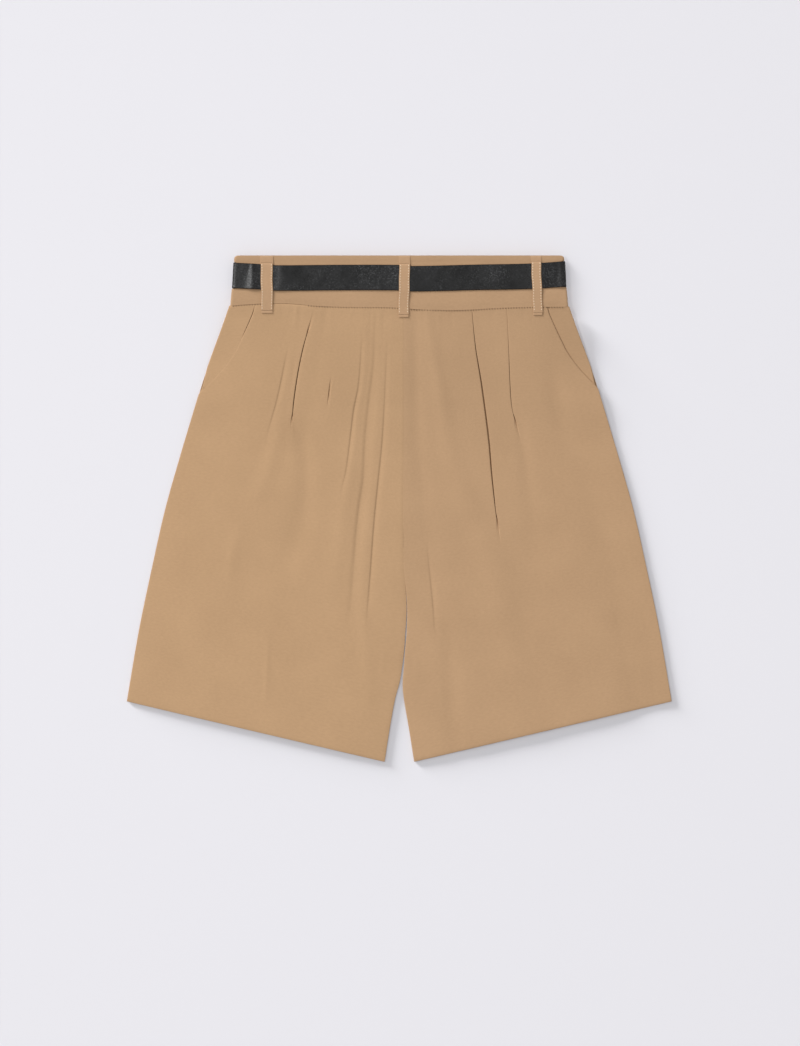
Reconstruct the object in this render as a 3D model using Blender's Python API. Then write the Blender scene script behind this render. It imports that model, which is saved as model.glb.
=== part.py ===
"""Belted pleated shorts, laid flat on their back on a level surface.

Frame: metres, +X to the right with the waist away from the viewer, +Y towards the waist, +Z up
through the front. The origin is under the middle of the garment, on the surface it lies on.
All sizes below are in millimetres. "across" is the distance from the middle line, positive
outwards on either leg, and "drop" is the distance below the seam under the waistband.
"""

import math
from collections import namedtuple

import bmesh
import bpy
import numpy as np

MM = 0.001

# Whole garment
WAIST_Y = 253.0  # top edge of the waistband
BAND_DEEP = 51.0  # height of the waistband
SEAM_Y = WAIST_Y - BAND_DEEP
HEM_OUTER = (272.6, 394.0)  # across, drop of the hem's outer corner
HEM_INNER = (14.3, 454.6)  # across, drop of the hem's inner corner
SEAM_GAP = 0.3  # clearance between sewn pieces

# Cloth and leather
CLOTH = 1.0
HEM_CLOTH = 1.5
HEM_DEEP = 24.0
BAND_FRONT = 2.4
BAND_BACK = 1.6
BAND_END = 4.5  # how far in from its ends the band starts to thin
BAND_THIN = 1.2  # how much thinner the front band is at its ends
BAND_RIM = 0.5  # how much its folded top edge is rounded on each face
STRAP = 1.5
STRAP_WIDE = 26.0
LOOP = 1.0
LOOP_ROOM = 0.6  # room in a loop above and below the belt
LOOP_STEP = 3.0  # length over which a loop comes up from the band to the belt

# Levels above the surface
BAND_LEVEL = 5.5  # underside of the waistband's back, held up by the belt under it
RAMP = 62.0  # drop over which the back comes down from the band to the surface
PUFF = 2.3  # how far the front stands off the back in the middle of a leg
PUFF_WAIST = 1.4
FACING_LIFT = 1.35  # room for the pocket facing under the front
FACING_END = 92.0
FACING_UNDER = 15.0  # how far the facing runs on under the front
EDGE_ROUND = 15.0
EDGE_STEP = 1.4  # first row of points in from a cut edge
CROTCH_DROP = 253.0
BAND_FRONT_LEVEL = BAND_LEVEL + BAND_BACK + SEAM_GAP
BAND_TOP = BAND_FRONT_LEVEL + BAND_FRONT
STRAP_FRONT = BAND_TOP + SEAM_GAP + STRAP / 2
STRAP_BACK = 3.45
STRAP_SIDE = 165.25  # half the belt's width round both sides, at the middle of the strap
STRAP_BEND = 2.35  # radius of those turns
TIP_LEVEL = STRAP_BACK - STRAP - SEAM_GAP  # the strap's end, under its other layer
PLEAT_TURN = 0.68  # radius of a pleat's turned edge, at the middle of the cloth
OPEN_PLEAT = 4.0  # half the width of the slope that an opened pleat becomes

# Side edge of the legs
Edge = namedtuple("Edge", "drop across")
SIDE = (
    Edge(-2, 169.0), Edge(23, 178.0), Edge(63, 193.0), Edge(103, 205.5), Edge(153, 220.5),
    Edge(203, 234.5), Edge(263, 248.0), Edge(323, 260.5), Edge(394, 272.6), Edge(456, 283.0),
)
# Middle seam down to the crotch, then the inner edge of each leg
INNER_RIGHT = (
    Edge(0, 4.0), Edge(150, 4.0), Edge(253, 4.0), Edge(298, 7.2), Edge(325, 6.4),
    Edge(353, 4.1), Edge(377, 2.6), Edge(393, 4.2), Edge(423, 9.4), Edge(456, 14.6),
)
INNER_LEFT = (
    Edge(0, -4.0), Edge(150, -4.0), Edge(253, -4.0), Edge(298, -7.2), Edge(325, -6.4),
    Edge(353, -4.1), Edge(373, -1.2), Edge(393, 3.9), Edge(423, 9.2), Edge(456, 14.3),
)
# Pocket opening, from the waistband out to the side edge
POCKET = (
    Edge(0, 147.6), Edge(7, 149.4), Edge(21, 155.5), Edge(34, 161.8), Edge(45.5, 167.7),
    Edge(62.7, 180.5), Edge(82, 199.5), Edge(95, 213.0),
)
POCKET_SHIFT = {"right": 0.0, "left": -3.5}
# The waistband's lower seam wanders a little about its straight line
Dip = namedtuple("Dip", "x drop")
SEAM_LINE = (
    Dip(-170, -0.5), Dip(-125, -3.0), Dip(-85, -2.0), Dip(0, 0.0), Dip(45, 1.5),
    Dip(80, 0.8), Dip(115, -1.7), Dip(170, -0.5),
)

# Lines down each front, a row for each drop. valley and ridge are soft folds. The pleats are
# the lines of the turned edges, lap is how far a pleat's cloth doubles back, and turn is the
# angle the cloth turns through at the edge: 180 is folded flat, 0 is open.
Right = namedtuple("Right", "drop valley ridge pleat_a lap_a turn_a pleat_b lap_b turn_b")
RIGHT_LINES = (
    Right(0, 13, 29, 72.2, 9.0, 180, 107.3, 7.0, 180),
    Right(43, 13, 30, 75.5, 8.0, 180, 109.0, 5.5, 180),
    Right(85, 13, 34, 82.4, 6.5, 180, 110.5, 3.0, 180),
    Right(114, 13, 38, 86.5, 5.5, 180, 114.5, 1.2, 150),
    Right(135, 14, 41, 88.6, 4.5, 180, 119.5, 1.2, 60),
    Right(155, 17, 44, 90.2, 3.6, 180, 127, 1.2, 10),
    Right(190, 22, 50, 94.0, 2.0, 180, 138, 1.2, 0),
    Right(207, 25, 54, 96.5, 1.2, 150, 144, 1.2, 0),
    Right(228, 28, 59, 100.0, 1.2, 60, 151, 1.2, 0),
    Right(250, 29, 64, 105.0, 1.2, 8, 158, 1.2, 0),
    Right(300, 34, 75, 118.0, 1.2, 0, 172, 1.2, 0),
    Right(455, 62, 105, 150.0, 1.2, 0, 205, 1.2, 0),
)
Left = namedtuple("Left", "drop crease_a crease_b crease_c pleat_a lap_a turn_a pleat_b lap_b turn_b")
LEFT_LINES = (
    Left(0, 10, 22.5, 37, 63.0, 6.0, 180, 84.5, 8.0, 180),
    Left(36, 12, 25.0, 39, 64.5, 5.0, 180, 95.0, 6.0, 180),
    Left(62, 14, 26.5, 41, 67.0, 3.5, 180, 101.0, 4.5, 180),
    Left(83, 15, 28.0, 43, 70.5, 1.2, 150, 104.0, 3.0, 180),
    Left(105, 16, 32.0, 47, 76.0, 1.2, 50, 107.0, 1.2, 150),
    Left(124, 17, 34.0, 50, 82.0, 1.2, 8, 113.0, 1.2, 60),
    Left(150, 18, 35.5, 54, 88.0, 1.2, 0, 122.0, 1.2, 8),
    Left(200, 24, 41.0, 63, 99.0, 1.2, 0, 136.0, 1.2, 0),
    Left(258, 28, 47.0, 74, 112.0, 1.2, 0, 152.0, 1.2, 0),
    Left(304, 33, 53.0, 84, 122.0, 1.2, 0, 164.0, 1.2, 0),
    Left(455, 52, 84.0, 118, 158.0, 1.2, 0, 208.0, 1.2, 0),
)
# Depth of the soft folds at each drop: below zero is a trough, above is a ridge
Depth = namedtuple("Depth", "drop first second third")
RIGHT_DEPTH = (
    Depth(0, -0.2, 0.1, 0), Depth(60, -0.6, 0.7, 0), Depth(150, -0.8, 0.9, 0),
    Depth(220, -0.9, 0.8, 0), Depth(270, -1.4, 0.6, 0), Depth(330, -0.9, 0.4, 0),
    Depth(400, -0.4, 0.1, 0), Depth(455, -0.3, 0, 0),
)
LEFT_DEPTH = (
    Depth(0, 0, -0.2, 0), Depth(45, -0.4, -0.8, -0.7), Depth(110, -1.1, -1.2, -1.0),
    Depth(180, -1.2, -1.4, -0.6), Depth(240, -1.0, -1.5, -0.1), Depth(290, -0.8, -0.9, 0),
    Depth(340, -0.3, -0.2, 0), Depth(455, 0, 0, 0),
)
FOLD_WIDE = 4.8
FOLD_SIDE = 4.5  # distance of the points on either side of a fold's line
PLEAT_REACH = 16.0  # how far a pleat lifts or lowers the cloth beside it
# Broad swells of the cloth
Swell = namedtuple("Swell", "across drop wide long high")
SWELLS = {
    "right": (Swell(92, 300, 22, 90, 0.5), Swell(180, 250, 45, 130, -0.5), Swell(245, 330, 22, 90, 0.4)),
    "left": (Swell(62, 215, 10, 60, 0.5), Swell(140, 155, 14, 45, 0.6), Swell(115, 250, 16, 70, -0.4)),
}
ROWS = (
    0, 0.03, 0.065, 0.1, 0.135, 0.165, 0.196, 0.235, 0.265, 0.295, 0.33, 0.37, 0.41, 0.45, 0.48,
    0.51, 0.54, 0.575, 0.62, 0.68, 0.74, 0.80, 0.86, 0.91, 0.945, 0.975, 1,
)
BACK_ROWS = (
    0, 0.02, 0.04, 0.06, 0.08, 0.1, 0.12, 0.14, 0.16, 0.3, 0.45, 0.56, 0.62, 0.68, 0.74, 0.8, 0.86,
    0.93, 0.995,
)
BACK_INSET = 0.6  # the back's side edge lies just inside the front's
TURN_STEPS = 3

# Belt loops: middle at the top and at the foot, drop of the foot, width
Loop = namedtuple("Loop", "name x_top x_foot foot_drop wide front")
LOOPS = (
    Loop("belt_loop_front_left", -132.2, -132.0, 6.5, 11.8, True),
    Loop("belt_loop_front_centre", 5.6, 4.2, 10.5, 10.6, True),
    Loop("belt_loop_front_right", 136.4, 138.4, 8.5, 9.6, True),
    Loop("belt_loop_back_left", -104.0, -104.0, 8.0, 10.6, False),
    Loop("belt_loop_back_right", 104.0, 104.0, 8.0, 10.6, False),
)
# Middle of the strap's width on the front
StrapLine = namedtuple("StrapLine", "x y")
STRAP_LINE = (
    StrapLine(-166, 233.4), StrapLine(-138, 231.9), StrapLine(-126, 230.8), StrapLine(-60, 231.3),
    StrapLine(0, 231.2), StrapLine(12, 230.0), StrapLine(80, 231.6), StrapLine(130, 232.6),
    StrapLine(166, 234.8),
)
STRAP_BACK_Y = 231.5

# Buckle, at the middle of the back
HINGE_X = -8.0
HINGE_WIDE = 3.0
HINGE_THICK = 1.2
HINGE_LEVEL = 3.5
FAR_BAR_X = 22.0
FAR_BAR_WIDE = 4.0
FAR_BAR_THICK = 1.9
FAR_BAR_LEVEL = 2.45
FRAME_HIGH = 35.0
FRAME_RAIL = 3.4
FRAME_CORNER = 4.0
FRAME_CORNER_INSIDE = 1.5
PRONG_WIDE = 3.4
PRONG_THICK = 0.8
PRONG_CLEAR = 0.4
PRONG_LEVEL = FAR_BAR_LEVEL - FAR_BAR_THICK / 2 - SEAM_GAP - PRONG_THICK / 2
KEEPER_X = -34.0
KEEPER_LONG = 9.0
KEEPER_THICK = 0.6
TIP_X = -86.0
TIP_LONG = 13.0
TIP_TAPER = 9.0  # how much the tip narrows on each side
SKIVED = 0.8  # the strap's thickness where it turns round the buckle's bar
# The strap's end from over the far bar, down through the frame and under the hinge
Route = namedtuple("Route", "x level")
TONGUE = (
    Route(FAR_BAR_X - 10, 3.6), Route(FAR_BAR_X - 18, 1.9), Route(HINGE_X + 6, 0.95),
    Route(HINGE_X + 2, 0.76), Route(HINGE_X - 6, 0.76), Route(KEEPER_X + 10, TIP_LEVEL - 0.2),
)
# Slots in the strap for the prong: one where the strap turns round the bar, one for the hole
Slot = namedtuple("Slot", "name x_low x_high z_low z_high")
SLOTS = (
    Slot("cut_for_prong_root", -12.7, -4.0, 1.62, 6.0),
    Slot("cut_for_prong", -3.2, 10.5, -2.0, 6.0),
)

# Finishes: colour (linear), roughness, metallic
TAN = ((0.50, 0.33, 0.19), 0.9, 0.0)
BLACK_LEATHER = ((0.028, 0.028, 0.030), 0.42, 0.0)
STEEL = ((0.62, 0.61, 0.58), 0.28, 1.0)


def clear_scene():
    for item in list(bpy.data.objects):
        bpy.data.objects.remove(item)


def finish(name, look):
    """A Principled material of the given colour, roughness and metallic value."""
    colour, roughness, metallic = look
    material = bpy.data.materials.new(name)
    material.use_nodes = True
    shader = material.node_tree.nodes["Principled BSDF"]
    shader.inputs["Base Color"].default_value = (*colour, 1.0)
    shader.inputs["Roughness"].default_value = roughness
    shader.inputs["Metallic"].default_value = metallic
    return material


def along(table, place, column, key=0):
    """A smooth curve through one named column of a table, read at one place of its key column."""
    keys = [row[key] for row in table]
    values = [getattr(row, column) for row in table]
    place = min(max(place, keys[0]), keys[-1])
    last = len(keys) - 1
    low = max(i for i in range(last) if keys[i] <= place)

    def slope(i):
        before, after = max(i - 1, 0), min(i + 1, last)
        return (values[after] - values[before]) / (keys[after] - keys[before])

    span = keys[low + 1] - keys[low]
    t = (place - keys[low]) / span
    return (
        values[low] * (1 + 2 * t) * (1 - t) ** 2
        + slope(low) * span * t * (1 - t) ** 2
        + values[low + 1] * t * t * (3 - 2 * t)
        - slope(low + 1) * span * t * t * (1 - t)
    )


def ease(t):
    t = min(max(t, 0.0), 1.0)
    return t * t * (3 - 2 * t)


def round_edge(distance, radius):
    """0 at the edge and 1 from the radius inwards, as a quarter circle."""
    t = min(max(distance / radius, 0.0), 1.0)
    return math.sqrt(1 - (1 - t) ** 2)


def hem_drop(across):
    share = (across - HEM_INNER[0]) / (HEM_OUTER[0] - HEM_INNER[0])
    return HEM_INNER[1] + (HEM_OUTER[1] - HEM_INNER[1]) * share


def back_rise(drop):
    """Height of the back's underside, which comes down from the waistband to the surface."""
    return BAND_LEVEL * (1 - ease(drop / RAMP))


def leg_open(drop):
    """0 where the legs are joined by the middle seam and 1 where each is a tube of its own."""
    return ease((drop - CROTCH_DROP + 12) / 55)


def row_drop(share, across, x):
    """Drop of a row of the leg, from the waist seam at 0 to the hem at 1."""
    start = along(SEAM_LINE, x, "drop") + SEAM_GAP
    return start + share * (hem_drop(across) - start)


class Leg:
    """One leg of the front: where its lines run and how high its cloth lies."""

    def __init__(self, side):
        self.side = side
        self.sign = 1 if side == "right" else -1
        self.lines = RIGHT_LINES if side == "right" else LEFT_LINES
        self.depths = RIGHT_DEPTH if side == "right" else LEFT_DEPTH
        self.inner_table = INNER_RIGHT if side == "right" else INNER_LEFT
        self.folds = (
            ("valley", "ridge") if side == "right" else ("crease_a", "crease_b", "crease_c")
        )

    def inner(self, drop):
        return along(self.inner_table, drop, "across") + SEAM_GAP / 2 + SEAM_GAP * leg_open(drop)

    def outer(self, drop):
        return along(SIDE, drop, "across")

    def pocket(self, drop):
        return along(POCKET, drop, "across") + POCKET_SHIFT[self.side]

    def front_inner(self, drop):
        return self.inner(drop) + CLOTH / 2 * leg_open(drop)

    def front_outer(self, drop):
        side = self.outer(drop) - CLOTH / 2
        return min(side, self.pocket(drop)) if drop < POCKET[-1].drop else side

    def level(self, across, drop):
        """Height of the middle of the front's cloth, before its pleats."""
        rest = back_rise(drop) + CLOTH + SEAM_GAP + CLOTH / 2
        edge = FACING_LIFT * (1 - ease((drop - FACING_END) / 40))
        full = PUFF_WAIST + (PUFF - PUFF_WAIST) * ease(drop / 70)
        side = round_edge(self.outer(drop) - CLOTH / 2 - across, EDGE_ROUND)
        lift = edge + (full - edge) * side
        inside = round_edge(across - self.front_inner(drop), EDGE_ROUND)
        settle = 1 - leg_open(drop) * (1 - inside)
        lift *= settle
        dip = 0.0
        for name, column in zip(self.folds, ("first", "second", "third")):
            off = (across - along(self.lines, drop, name)) / FOLD_WIDE
            dip += along(self.depths, drop, column) * math.exp(-off * off)
        for swell in SWELLS[self.side]:
            off = ((across - swell.across) / swell.wide) ** 2
            off += ((drop - swell.drop) / swell.long) ** 2
            dip += swell.high * math.exp(-off)
        return rest + max(lift + dip * side * settle, 0.0)

    def point(self, share, across, height):
        x = self.sign * across
        return (x, SEAM_Y - row_drop(share, across, x), height)

    def settled(self, share, column):
        """Where a line crosses a row, since a row's drop depends on how far out it is."""
        across = along(self.lines, share * HEM_INNER[1], column)
        for _ in range(6):
            across = along(self.lines, row_drop(share, across, self.sign * across), column)
        return across

    def edge(self, share, curve):
        across = curve(share * HEM_INNER[1])
        for _ in range(12):
            across = curve(row_drop(share, across, self.sign * across))
        return across


def pleat_path(anchor, lap, turn, level_at):
    """The cloth's path outwards through one pleat, which faces the side of the leg.

    It goes on top to the shown edge, turns under and back, and turns at the hidden edge.
    """
    angle = math.radians(turn)
    radius = PLEAT_TURN
    shown = radius if turn > 90 else radius * math.sin(angle)
    rise = 2 * radius * (1 - math.cos(angle)) + lap * math.sin(angle)
    start = anchor - shown
    top = level_at(start) + rise / 2
    path = []
    for i in range(TURN_STEPS + 1):
        a = angle * i / TURN_STEPS
        path.append((start + radius * math.sin(a), top - radius * (1 - math.cos(a))))
    x, z = path[-1]
    x, z = x + lap * math.cos(angle), z - lap * math.sin(angle)
    end = x + radius * math.sin(angle)
    for i in range(TURN_STEPS + 1):
        a = angle * (1 - i / TURN_STEPS)
        path.append((end - radius * math.sin(a), z - radius * (math.cos(a) - math.cos(angle))))
    folded = ease(turn / 90)
    last = len(path) - 1
    opened = []
    for i, (x, z) in enumerate(path):
        even = anchor + OPEN_PLEAT * (2 * i / last - 1)
        opened.append((even + (x - even) * folded, z))
    return opened, rise


def spread(first, last, count):
    """Places between two lines, the lines left out."""
    return [first + (last - first) * (i + 1) / (count + 1) for i in range(count)]


def front_grid(leg):
    """Rows of points down the middle of a front's cloth, from the waist seam to the hem."""
    grid = []
    for share in ROWS:
        inner = leg.edge(share, leg.front_inner)
        outer = leg.edge(share, leg.front_outer)
        folds = [leg.settled(share, name) for name in leg.folds]
        pleats = []
        for letter in "ab":
            anchor = leg.settled(share, "pleat_" + letter)
            drop = row_drop(share, anchor, leg.sign * anchor)
            lap = along(leg.lines, drop, "lap_" + letter)
            turn = min(max(along(leg.lines, drop, "turn_" + letter), 0), 180)
            pleats.append(
                pleat_path(
                    anchor, max(lap, 0.8), turn,
                    lambda a: leg.level(a, row_drop(share, a, leg.sign * a)),
                )
            )
        (path_a, rise_a), (path_b, rise_b) = pleats
        places = [inner, inner + EDGE_STEP]
        for fold in folds:
            places += spread(places[-1], fold - FOLD_SIDE, 1)
            places += [fold - FOLD_SIDE, fold, fold + FOLD_SIDE]
        places += spread(places[-1], path_a[0][0], 3)
        run_b = spread(path_a[-1][0], path_b[0][0], 4)
        run_c = spread(path_b[-1][0], outer - EDGE_ROUND * 0.55, 5)
        run_c += [outer - EDGE_ROUND * 0.55, outer - EDGE_ROUND * 0.25, outer - EDGE_STEP, outer]

        def height(across, on_top=None, under=None):
            """Level of the cloth that ends on top of one pleat or starts under another."""
            z = leg.level(across, row_drop(share, across, leg.sign * across))
            if on_top:
                z += on_top[1] / 2 * math.exp(-(((on_top[0] - across) / PLEAT_REACH) ** 2))
            if under:
                z -= under[1] / 2 * math.exp(-(((across - under[0]) / PLEAT_REACH) ** 2))
            return z

        row = [(a, height(a, on_top=(path_a[0][0], rise_a))) for a in places]
        row += path_a
        row += [
            (a, height(a, on_top=(path_b[0][0], rise_b), under=(path_a[-1][0], rise_a)))
            for a in run_b
        ]
        row += path_b
        row += [(a, height(a, under=(path_b[-1][0], rise_b))) for a in run_c]
        grid.append([leg.point(share, a, z) for a, z in row])
    return np.array(grid)


def facing_grid(leg):
    """The hip piece in the pocket opening, a cloth's thickness under the front."""
    grid = []
    for drop in (0, 10, 21, 34, 46, 58, 70, FACING_END - 12, FACING_END):
        covered = ease((drop - FACING_END + 32) / 20)
        outer = leg.outer(drop) - CLOTH * covered
        inner = min(leg.pocket(drop) - FACING_UNDER, outer - 12)
        places = [inner + (outer - 6 - inner) * i / 5 for i in range(6)]
        row = []
        for across in [*places, outer - EDGE_STEP, outer]:
            x = leg.sign * across
            height = leg.level(across, drop) - CLOTH - SEAM_GAP * 1.1
            row.append((x, SEAM_Y - max(drop, along(SEAM_LINE, x, "drop") + SEAM_GAP), height))
        grid.append(row)
    return np.array(grid)


def back_grid(leg):
    """Rows of points down a back, which lies on the surface and rises to the waistband."""
    grid = []
    for share in BACK_ROWS:
        inner = leg.edge(share, leg.inner)
        outer = leg.edge(share, leg.outer) - BACK_INSET
        row = []
        for i in range(11):
            across = inner + (outer - inner) * i / 10
            drop = row_drop(share, across, leg.sign * across)
            row.append(leg.point(share, across, back_rise(drop) + CLOTH / 2))
        grid.append(row)
    return np.array(grid)


def solid_between(name, upper, lower, material):
    """A closed solid between two grids of points of the same shape, in millimetres."""
    rows, columns = upper.shape[:2]
    mesh = bmesh.new()
    top = [[mesh.verts.new(p * MM) for p in row] for row in upper]
    bottom = [[mesh.verts.new(p * MM) for p in row] for row in lower]
    for i in range(rows - 1):
        for j in range(columns - 1):
            mesh.faces.new((top[i][j], top[i][j + 1], top[i + 1][j + 1], top[i + 1][j]))
            low = (bottom[i][j], bottom[i + 1][j], bottom[i + 1][j + 1], bottom[i][j + 1])
            mesh.faces.new(low)
    for j in range(columns - 1):
        for i in (0, rows - 1):
            mesh.faces.new((top[i][j], top[i][j + 1], bottom[i][j + 1], bottom[i][j]))
    for i in range(rows - 1):
        for j in (0, columns - 1):
            mesh.faces.new((top[i][j], top[i + 1][j], bottom[i + 1][j], bottom[i][j]))
    return finish_mesh(name, mesh, material)


def finish_mesh(name, mesh, material):
    """Turns a bmesh into a named object with its faces outwards and its round parts smooth."""
    bmesh.ops.recalc_face_normals(mesh, faces=mesh.faces)
    if mesh.calc_volume(signed=True) < 0:
        bmesh.ops.reverse_faces(mesh, faces=mesh.faces)
    data = bpy.data.meshes.new(name)
    mesh.to_mesh(data)
    mesh.free()
    data.shade_smooth()
    data.set_sharp_from_angle(angle=math.radians(40))
    data.materials.append(material)
    item = bpy.data.objects.new(name, data)
    bpy.context.scene.collection.objects.link(item)
    return item


def grid_normals(grid):
    """A unit normal at each point of a grid, from its neighbours along and across."""
    along_rows = np.gradient(grid, axis=0)
    along_columns = np.zeros_like(grid)
    steps = np.diff(grid, axis=1)
    steps /= np.maximum(np.linalg.norm(steps, axis=2, keepdims=True), 1e-9)
    along_columns[:, 1:-1] = steps[:, 1:] + steps[:, :-1]
    along_columns[:, 0] = steps[:, 0]
    along_columns[:, -1] = steps[:, -1]
    normals = np.cross(along_rows, along_columns)
    normals /= np.linalg.norm(normals, axis=2, keepdims=True)
    return normals


def cloth_wall(name, grid, thickness, material):
    """A wall of cloth about a grid of points through its middle. Thickness may vary by row."""
    half = np.broadcast_to(np.asarray(thickness, float) / 2, grid.shape[:2])[..., None]
    normals = grid_normals(grid)
    return solid_between(name, grid + normals * half, grid - normals * half, material)


def make_legs(cloth):
    hem_rows = np.array(ROWS) > 1 - HEM_DEEP / HEM_INNER[1]
    for side in ("left", "right"):
        leg = Leg(side)
        front = front_grid(leg)
        thickness = np.where(hem_rows, HEM_CLOTH, CLOTH)[:, None] * np.ones(front.shape[1])
        front[hem_rows, :, 2] += (HEM_CLOTH - CLOTH) / 2
        cloth_wall("front_" + side, front, thickness, cloth)
        cloth_wall("pocket_facing_" + side, facing_grid(leg), CLOTH, cloth)
        back = back_grid(leg)
        lift = np.array([0, 0, CLOTH / 2])
        solid_between("back_" + side, back + lift, back - lift, cloth)


def band_edge(y):
    """Half the waistband's width at a height, drawn in under the belt."""
    up = (y - SEAM_Y) / BAND_DEEP
    free = 169.3 - 3.9 * up - 2.3 * ease((up - 0.93) / 0.07)
    under_belt = ease((y - 215.5) / 3) * (1 - ease((y - 247.0) / 2.5))
    return free + (163.3 - free) * under_belt


def make_band(name, x_from, x_to, front, cloth):
    """One piece of the waistband: flat, thinner at its ends where it turns to the side seam."""
    thick = BAND_FRONT if front else BAND_BACK
    heights = (0.0, 8.0, 14.0, 17.0, 30.0, 44.0, 47.5, 49.6, BAND_DEEP)
    count = 26 if front else 12
    upper, lower = [], []
    for up in heights:
        top_row, low_row = [], []
        for i in range(count + 1):
            y = SEAM_Y + up
            edge = band_edge(y)
            x_low = -edge if x_from is None else x_from
            x_high = edge if x_to is None else x_to
            x = x_low + (x_high - x_low) * (0.5 - 0.5 * math.cos(math.pi * i / count))
            if up == 0.0:
                y = SEAM_Y - along(SEAM_LINE, x, "drop")
            thin = BAND_THIN * (1 - ease((edge - abs(x)) / BAND_END)) * thick / BAND_FRONT
            rim = BAND_RIM if up == BAND_DEEP else 0.0
            floor = BAND_FRONT_LEVEL if front else BAND_LEVEL
            top = floor + thick
            top_row.append((x, y, top - (thin if front else 0) - rim))
            low_row.append((x, y, floor + (0 if front else thin) + rim))
        upper.append(top_row)
        lower.append(low_row)
    return solid_between(name, np.array(upper), np.array(lower), cloth)


def strip(name, path, edges, material):
    """A strap along a path of (x, z, thickness), with (low, high) edges in y at each point."""
    points = np.array([(x, z) for x, z, _ in path])
    steps = np.diff(points, axis=0)
    steps /= np.linalg.norm(steps, axis=1, keepdims=True)
    run = np.vstack([steps[:1], steps[1:] + steps[:-1], steps[-1:]])
    run /= np.linalg.norm(run, axis=1, keepdims=True)
    normal = np.stack([-run[:, 1], run[:, 0]], axis=1)
    upper, lower = [], []
    for (x, z), (nx, nz), (_, _, thick), (low, high) in zip(points, normal, path, edges):
        half = thick / 2
        upper.append([(x + nx * half, y, z + nz * half) for y in (low, high)])
        lower.append([(x - nx * half, y, z - nz * half) for y in (low, high)])
    return solid_between(name, np.array(upper), np.array(lower), material)


def arc(centre, radius, start, end, steps):
    """Points of an arc in a plane, by angles in degrees."""
    found = []
    for i in range(steps + 1):
        a = math.radians(start + (end - start) * i / steps)
        found.append((centre[0] + radius * math.cos(a), centre[1] + radius * math.sin(a)))
    return found


def strap_path():
    """The strap from its end turned round the buckle's bar, round the waist, to its tip."""
    bar_end = HINGE_X + HINGE_WIDE / 2
    turn = HINGE_THICK / 2 + SEAM_GAP + SKIVED / 2
    path = [(HINGE_X - 5.0, HINGE_LEVEL + turn, SKIVED), (HINGE_X, HINGE_LEVEL + turn, SKIVED)]
    path += [(x, z, SKIVED) for x, z in arc((bar_end, HINGE_LEVEL), turn, 90, -90, 6)]
    path += [
        (HINGE_X - 2.0, HINGE_LEVEL - turn, SKIVED),
        (HINGE_X - 6.0, HINGE_LEVEL - turn + 0.1, SKIVED),
        (KEEPER_X + 10, STRAP_BACK - 0.15, 1.3),
        (KEEPER_X, STRAP_BACK, STRAP),
        (-70, STRAP_BACK, STRAP), (-110, STRAP_BACK, STRAP), (-145, STRAP_BACK, STRAP),
    ]
    side = STRAP_SIDE - STRAP_BEND
    for sign in (-1, 1):
        quarter = arc((side, STRAP_BACK + STRAP_BEND), STRAP_BEND, -90, 0, 3)
        quarter += arc((side, STRAP_FRONT - STRAP_BEND), STRAP_BEND, 0, 90, 3)
        turned = [(sign * x, z, STRAP) for x, z in quarter]
        front = [(x, STRAP_FRONT, STRAP) for x in range(-156, 157, 12)]
        if sign < 0:
            path += turned + front
        else:
            path += turned[::-1]
    over = FAR_BAR_LEVEL + FAR_BAR_THICK / 2 + SEAM_GAP + STRAP / 2
    path += [(x, STRAP_BACK, STRAP) for x in (145, 110, 70, FAR_BAR_X + 16)]
    path += [(x, over, STRAP) for x in (FAR_BAR_X + 5, FAR_BAR_X - 4)]
    path += [(step.x, step.level, STRAP) for step in TONGUE]
    path += [(x, TIP_LEVEL, STRAP) for x in (KEEPER_X, KEEPER_X - 20)]
    path += [(TIP_X + TIP_LONG * share, TIP_LEVEL, STRAP) for share in (1, 0.5, 0.15, 0)]
    return path


def make_strap(leather):
    """The belt's strap, cut for the prong where it turns round the bar and at its hole."""
    path = strap_path()
    edges = []
    middle_of_path = (STRAP_FRONT + STRAP_BACK) / 2
    turns_from = STRAP_SIDE - STRAP_BEND * 2
    for i, (x, z, _) in enumerate(path):
        share = ease((z - middle_of_path) / (STRAP_FRONT - middle_of_path))
        if abs(x) < turns_from:
            share = float(z > middle_of_path)
        middle = STRAP_BACK_Y + (along(STRAP_LINE, x, "y") - STRAP_BACK_Y) * share
        tip = 0.0
        if i > len(path) - 5 and x < TIP_X + TIP_LONG:
            tip = (1 - (x - TIP_X) / TIP_LONG) ** 2 * TIP_TAPER
        half = STRAP_WIDE / 2 - tip
        edges.append((middle - half, middle + half))
    strap = strip("belt_strap", path, edges, leather)
    y_low = STRAP_BACK_Y - PRONG_WIDE / 2 - PRONG_CLEAR
    y_high = STRAP_BACK_Y + PRONG_WIDE / 2 + PRONG_CLEAR
    for slot in SLOTS:
        low = (slot.x_low, y_low, slot.z_low)
        high = (slot.x_high, y_high, slot.z_high)
        cutter = box_object(slot.name, low, high, leather)
        cutter.hide_render = True
        cutter.display_type = "WIRE"
        cut = strap.modifiers.new(slot.name, "BOOLEAN")
        cut.operation = "DIFFERENCE"
        cut.object = cutter


def box_object(name, low, high, material):
    mesh = bmesh.new()
    bmesh.ops.create_cube(mesh, size=1.0)
    for vert in mesh.verts:
        for axis in range(3):
            vert.co[axis] = MM * (low[axis] if vert.co[axis] < 0 else high[axis])
    return finish_mesh(name, mesh, material)


def rounded_rectangle(x_low, x_high, y_low, y_high, radius):
    """Corner points of a rectangle with round corners, anticlockwise."""
    corners = (
        (x_high - radius, y_high - radius, 0), (x_low + radius, y_high - radius, 90),
        (x_low + radius, y_low + radius, 180), (x_high - radius, y_low + radius, 270),
    )
    found = []
    for x, y, start in corners:
        found += arc((x, y), radius, start, start + 90, 3)
    return found


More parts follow.
